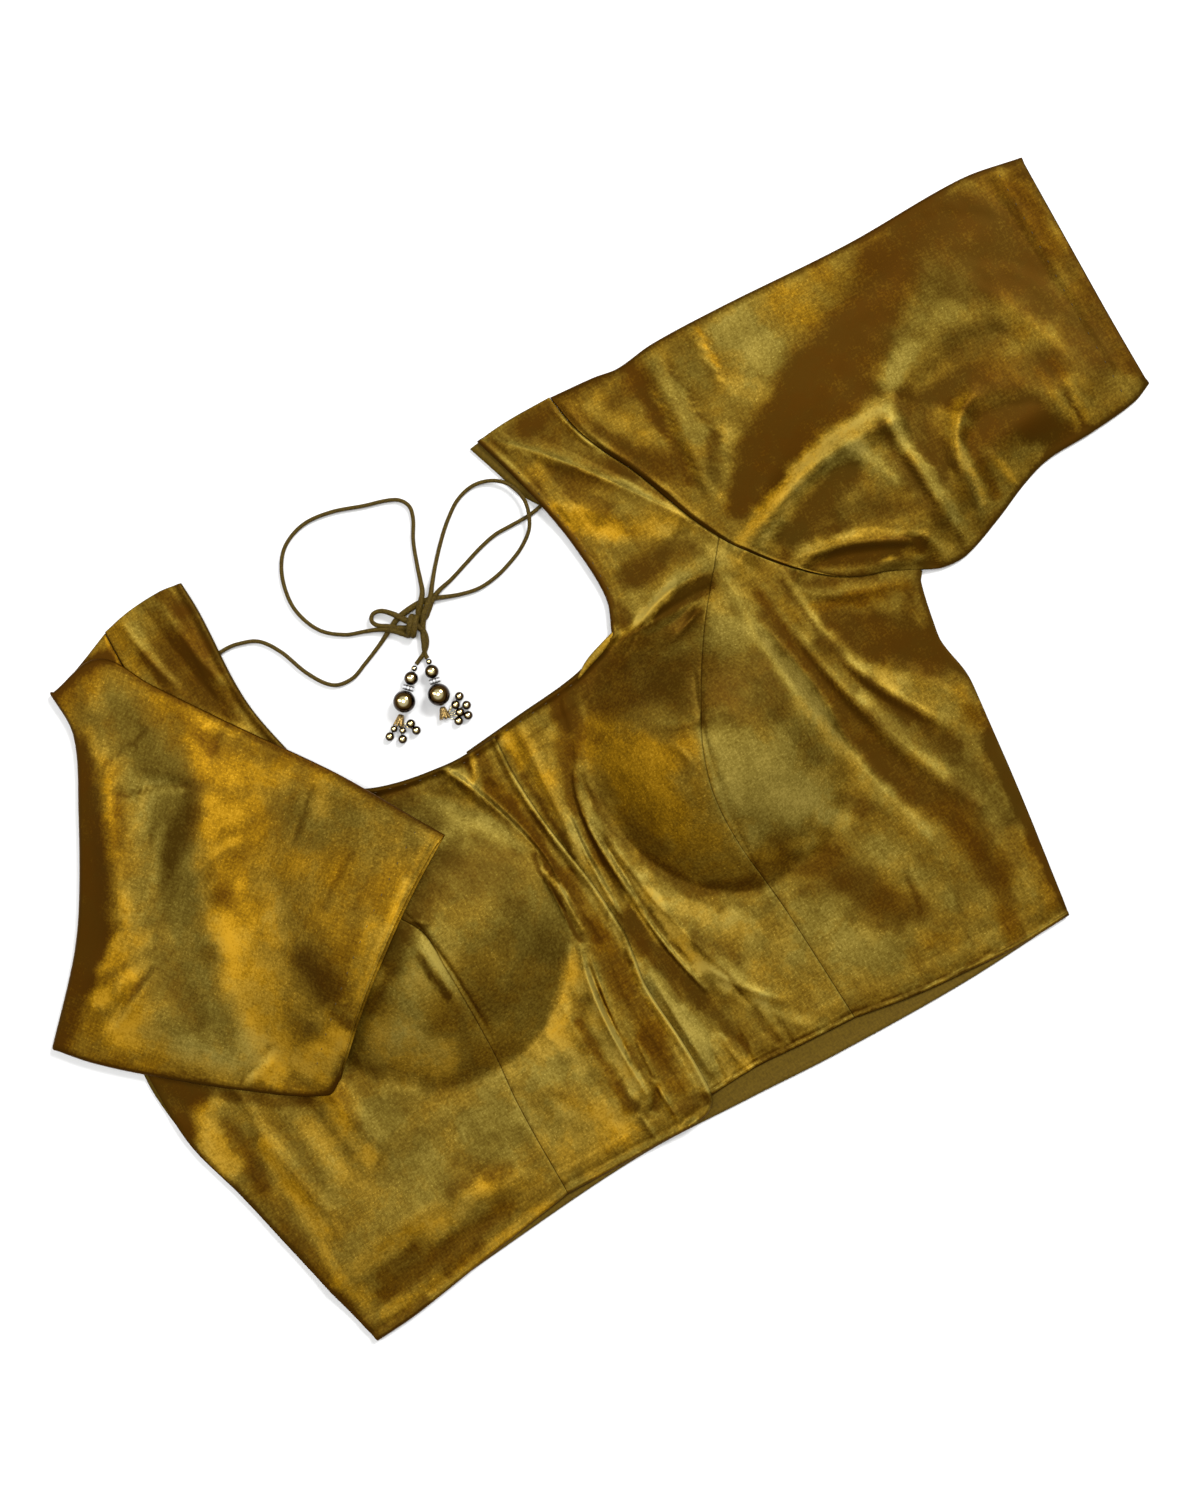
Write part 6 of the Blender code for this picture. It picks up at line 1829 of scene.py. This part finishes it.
fronts_above = surface_of(left_centre, right_centre, left_side, right_side)
stitch_line("stitches_neck_left", fine(NECK_LEFT_SIDE[1:-1]), -STITCH_INSET, 7.5, fronts_above)
for side, neck in (
    ("left", [(8, 238), (19.5, 238), (57, 240.6)]),
    ("right", [(-66, 247), (-25, 236), (0, 235)]),
):
    stitch_line("stitches_neck_front_" + side, fine(neck), -STITCH_INSET, 8.0, fronts_above)
stitch_line("stitches_cuff_left", left_cuff, 15.0, 8.5, surface_of(sleeve_left))
stitch_line("stitches_cuff_right", after_cuff, 14.0, 8.5, surface_of(sleeve_right))

bm = bmesh.new()
TAB = fine([(57, 239.5), (66, 243.5), (76, 246.5), (87, 250.5)])
rings = []
for i, p in enumerate(at_shares(TAB, np.linspace(0, 1, TAB_STEPS + 1))):
    share = i / TAB_STEPS
    swell = math.sin(math.pi * (0.04 + 0.92 * share)) ** 0.7
    level = front_height(np.array([p[0]]), np.array([p[1] - 3]))[0] + CLOTH + 1.0
    ring = []
    for j in range(TAB_SIDES):
        angle = 2 * math.pi * j / TAB_SIDES
        ring.append(bm.verts.new((
            p[0] + 0.3 * math.cos(angle) * swell,
            p[1] - 1.6 + 2.3 * swell * math.cos(angle),
            level + 0.9 * swell * math.sin(angle),
        )))
    rings.append(ring)
for one, two in zip(rings, rings[1:]):
    for j in range(TAB_SIDES):
        after = (j + 1) % TAB_SIDES
        bm.faces.new((one[j], two[j], two[after], one[after]))
bm.faces.new(rings[0])
bm.faces.new(rings[-1][::-1])
bmesh.ops.recalc_face_normals(bm, faces=bm.faces)
tab = add_mesh("neckline_tab", bm, body_tissue)
# A painted highlight over the tab.
paint_shine_and_shade(tab, [(50, 245, 90, 245, 20, 0.2, 0.2)])


# The cuts that these pieces come from. Each is the box of the whole flat cut, all round on a sleeve,
# with the area of the modelled cloth, in one layer for a panel and in both for a sleeve.
CUTS = [
    (back, back_area, (0.49, 0.40), "laid", ()),
    (left_centre, left_centre_area, (0.175, 0.375), "laid", ("shown_back_panel",)),
    (left_side, left_side_area, (0.165, 0.29), "laid", ("shown_back_panel",)),
    (right_centre, right_centre_area, (0.175, 0.40), "laid", ("shown_back_panel",)),
    (right_side, right_side_area, (0.175, 0.29), "laid", ("shown_back_panel",)),
    (sleeve_left, sleeve_left_area, (0.38, 0.30), "laid", ()),
    (sleeve_right, sleeve_right_area, (0.38, 0.30), "folded", ("shown_front_right_side",)),
]
for piece, area, cut, held, under in CUTS:
    min(area, cut[0] * cut[1])
    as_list(under)


# The surface and the light: a plain pale floor, a large soft light above the neck end, a strip on
# the far side and a weak fill.
floor_mesh = bpy.data.meshes.new("floor")
bm = bmesh.new()
bmesh.ops.create_grid(bm, x_segments=1, y_segments=1, size=3.0)
bm.to_mesh(floor_mesh)
bm.free()
floor = bpy.data.objects.new("floor", floor_mesh)
floor.location.z = -0.0005
bpy.context.scene.collection.objects.link(floor)
floor_finish, tree, shader = new_material("pale_floor", (0.86, 0.86, 0.855), 0.85)
floor_mesh.materials.append(floor_finish)


def soft_light(name, place, size, power, colour=(1, 1, 1)):
    """A rectangular light that faces the middle of the blouse."""
    data = bpy.data.lights.new(name, "AREA")
    data.shape = "RECTANGLE"
    data.size, data.size_y = size
    data.energy = power
    data.color = colour
    made = bpy.data.objects.new(name, data)
    made.location = place
    made.rotation_euler = (-Vector(place)).to_track_quat("-Z", "Y").to_euler()
    bpy.context.scene.collection.objects.link(made)
    return made


def off_camera(right, up, height):
    """A place given along the picture's right and up, and its height, in metres."""
    c, s = math.cos(VIEW_TURN), math.sin(VIEW_TURN)
    return (c * right - s * up, s * right + c * up, height)


soft_light("key", off_camera(1.4, 2.0, 2.5), (1.0, 1.0), 112)
soft_light("strip", off_camera(-1.8, 0.4, 1.6), (0.5, 1.6), 16)
soft_light("top", off_camera(-0.2, 0.1, 2.2), (0.9, 0.9), 19)
world = bpy.data.worlds.new("studio")
bpy.context.scene.world = world
world.use_nodes = True
world.node_tree.nodes["Background"].inputs["Color"].default_value = (1, 1, 1, 1)
world.node_tree.nodes["Background"].inputs["Strength"].default_value = 0.44
bpy.context.scene.view_settings.view_transform = "Standard"
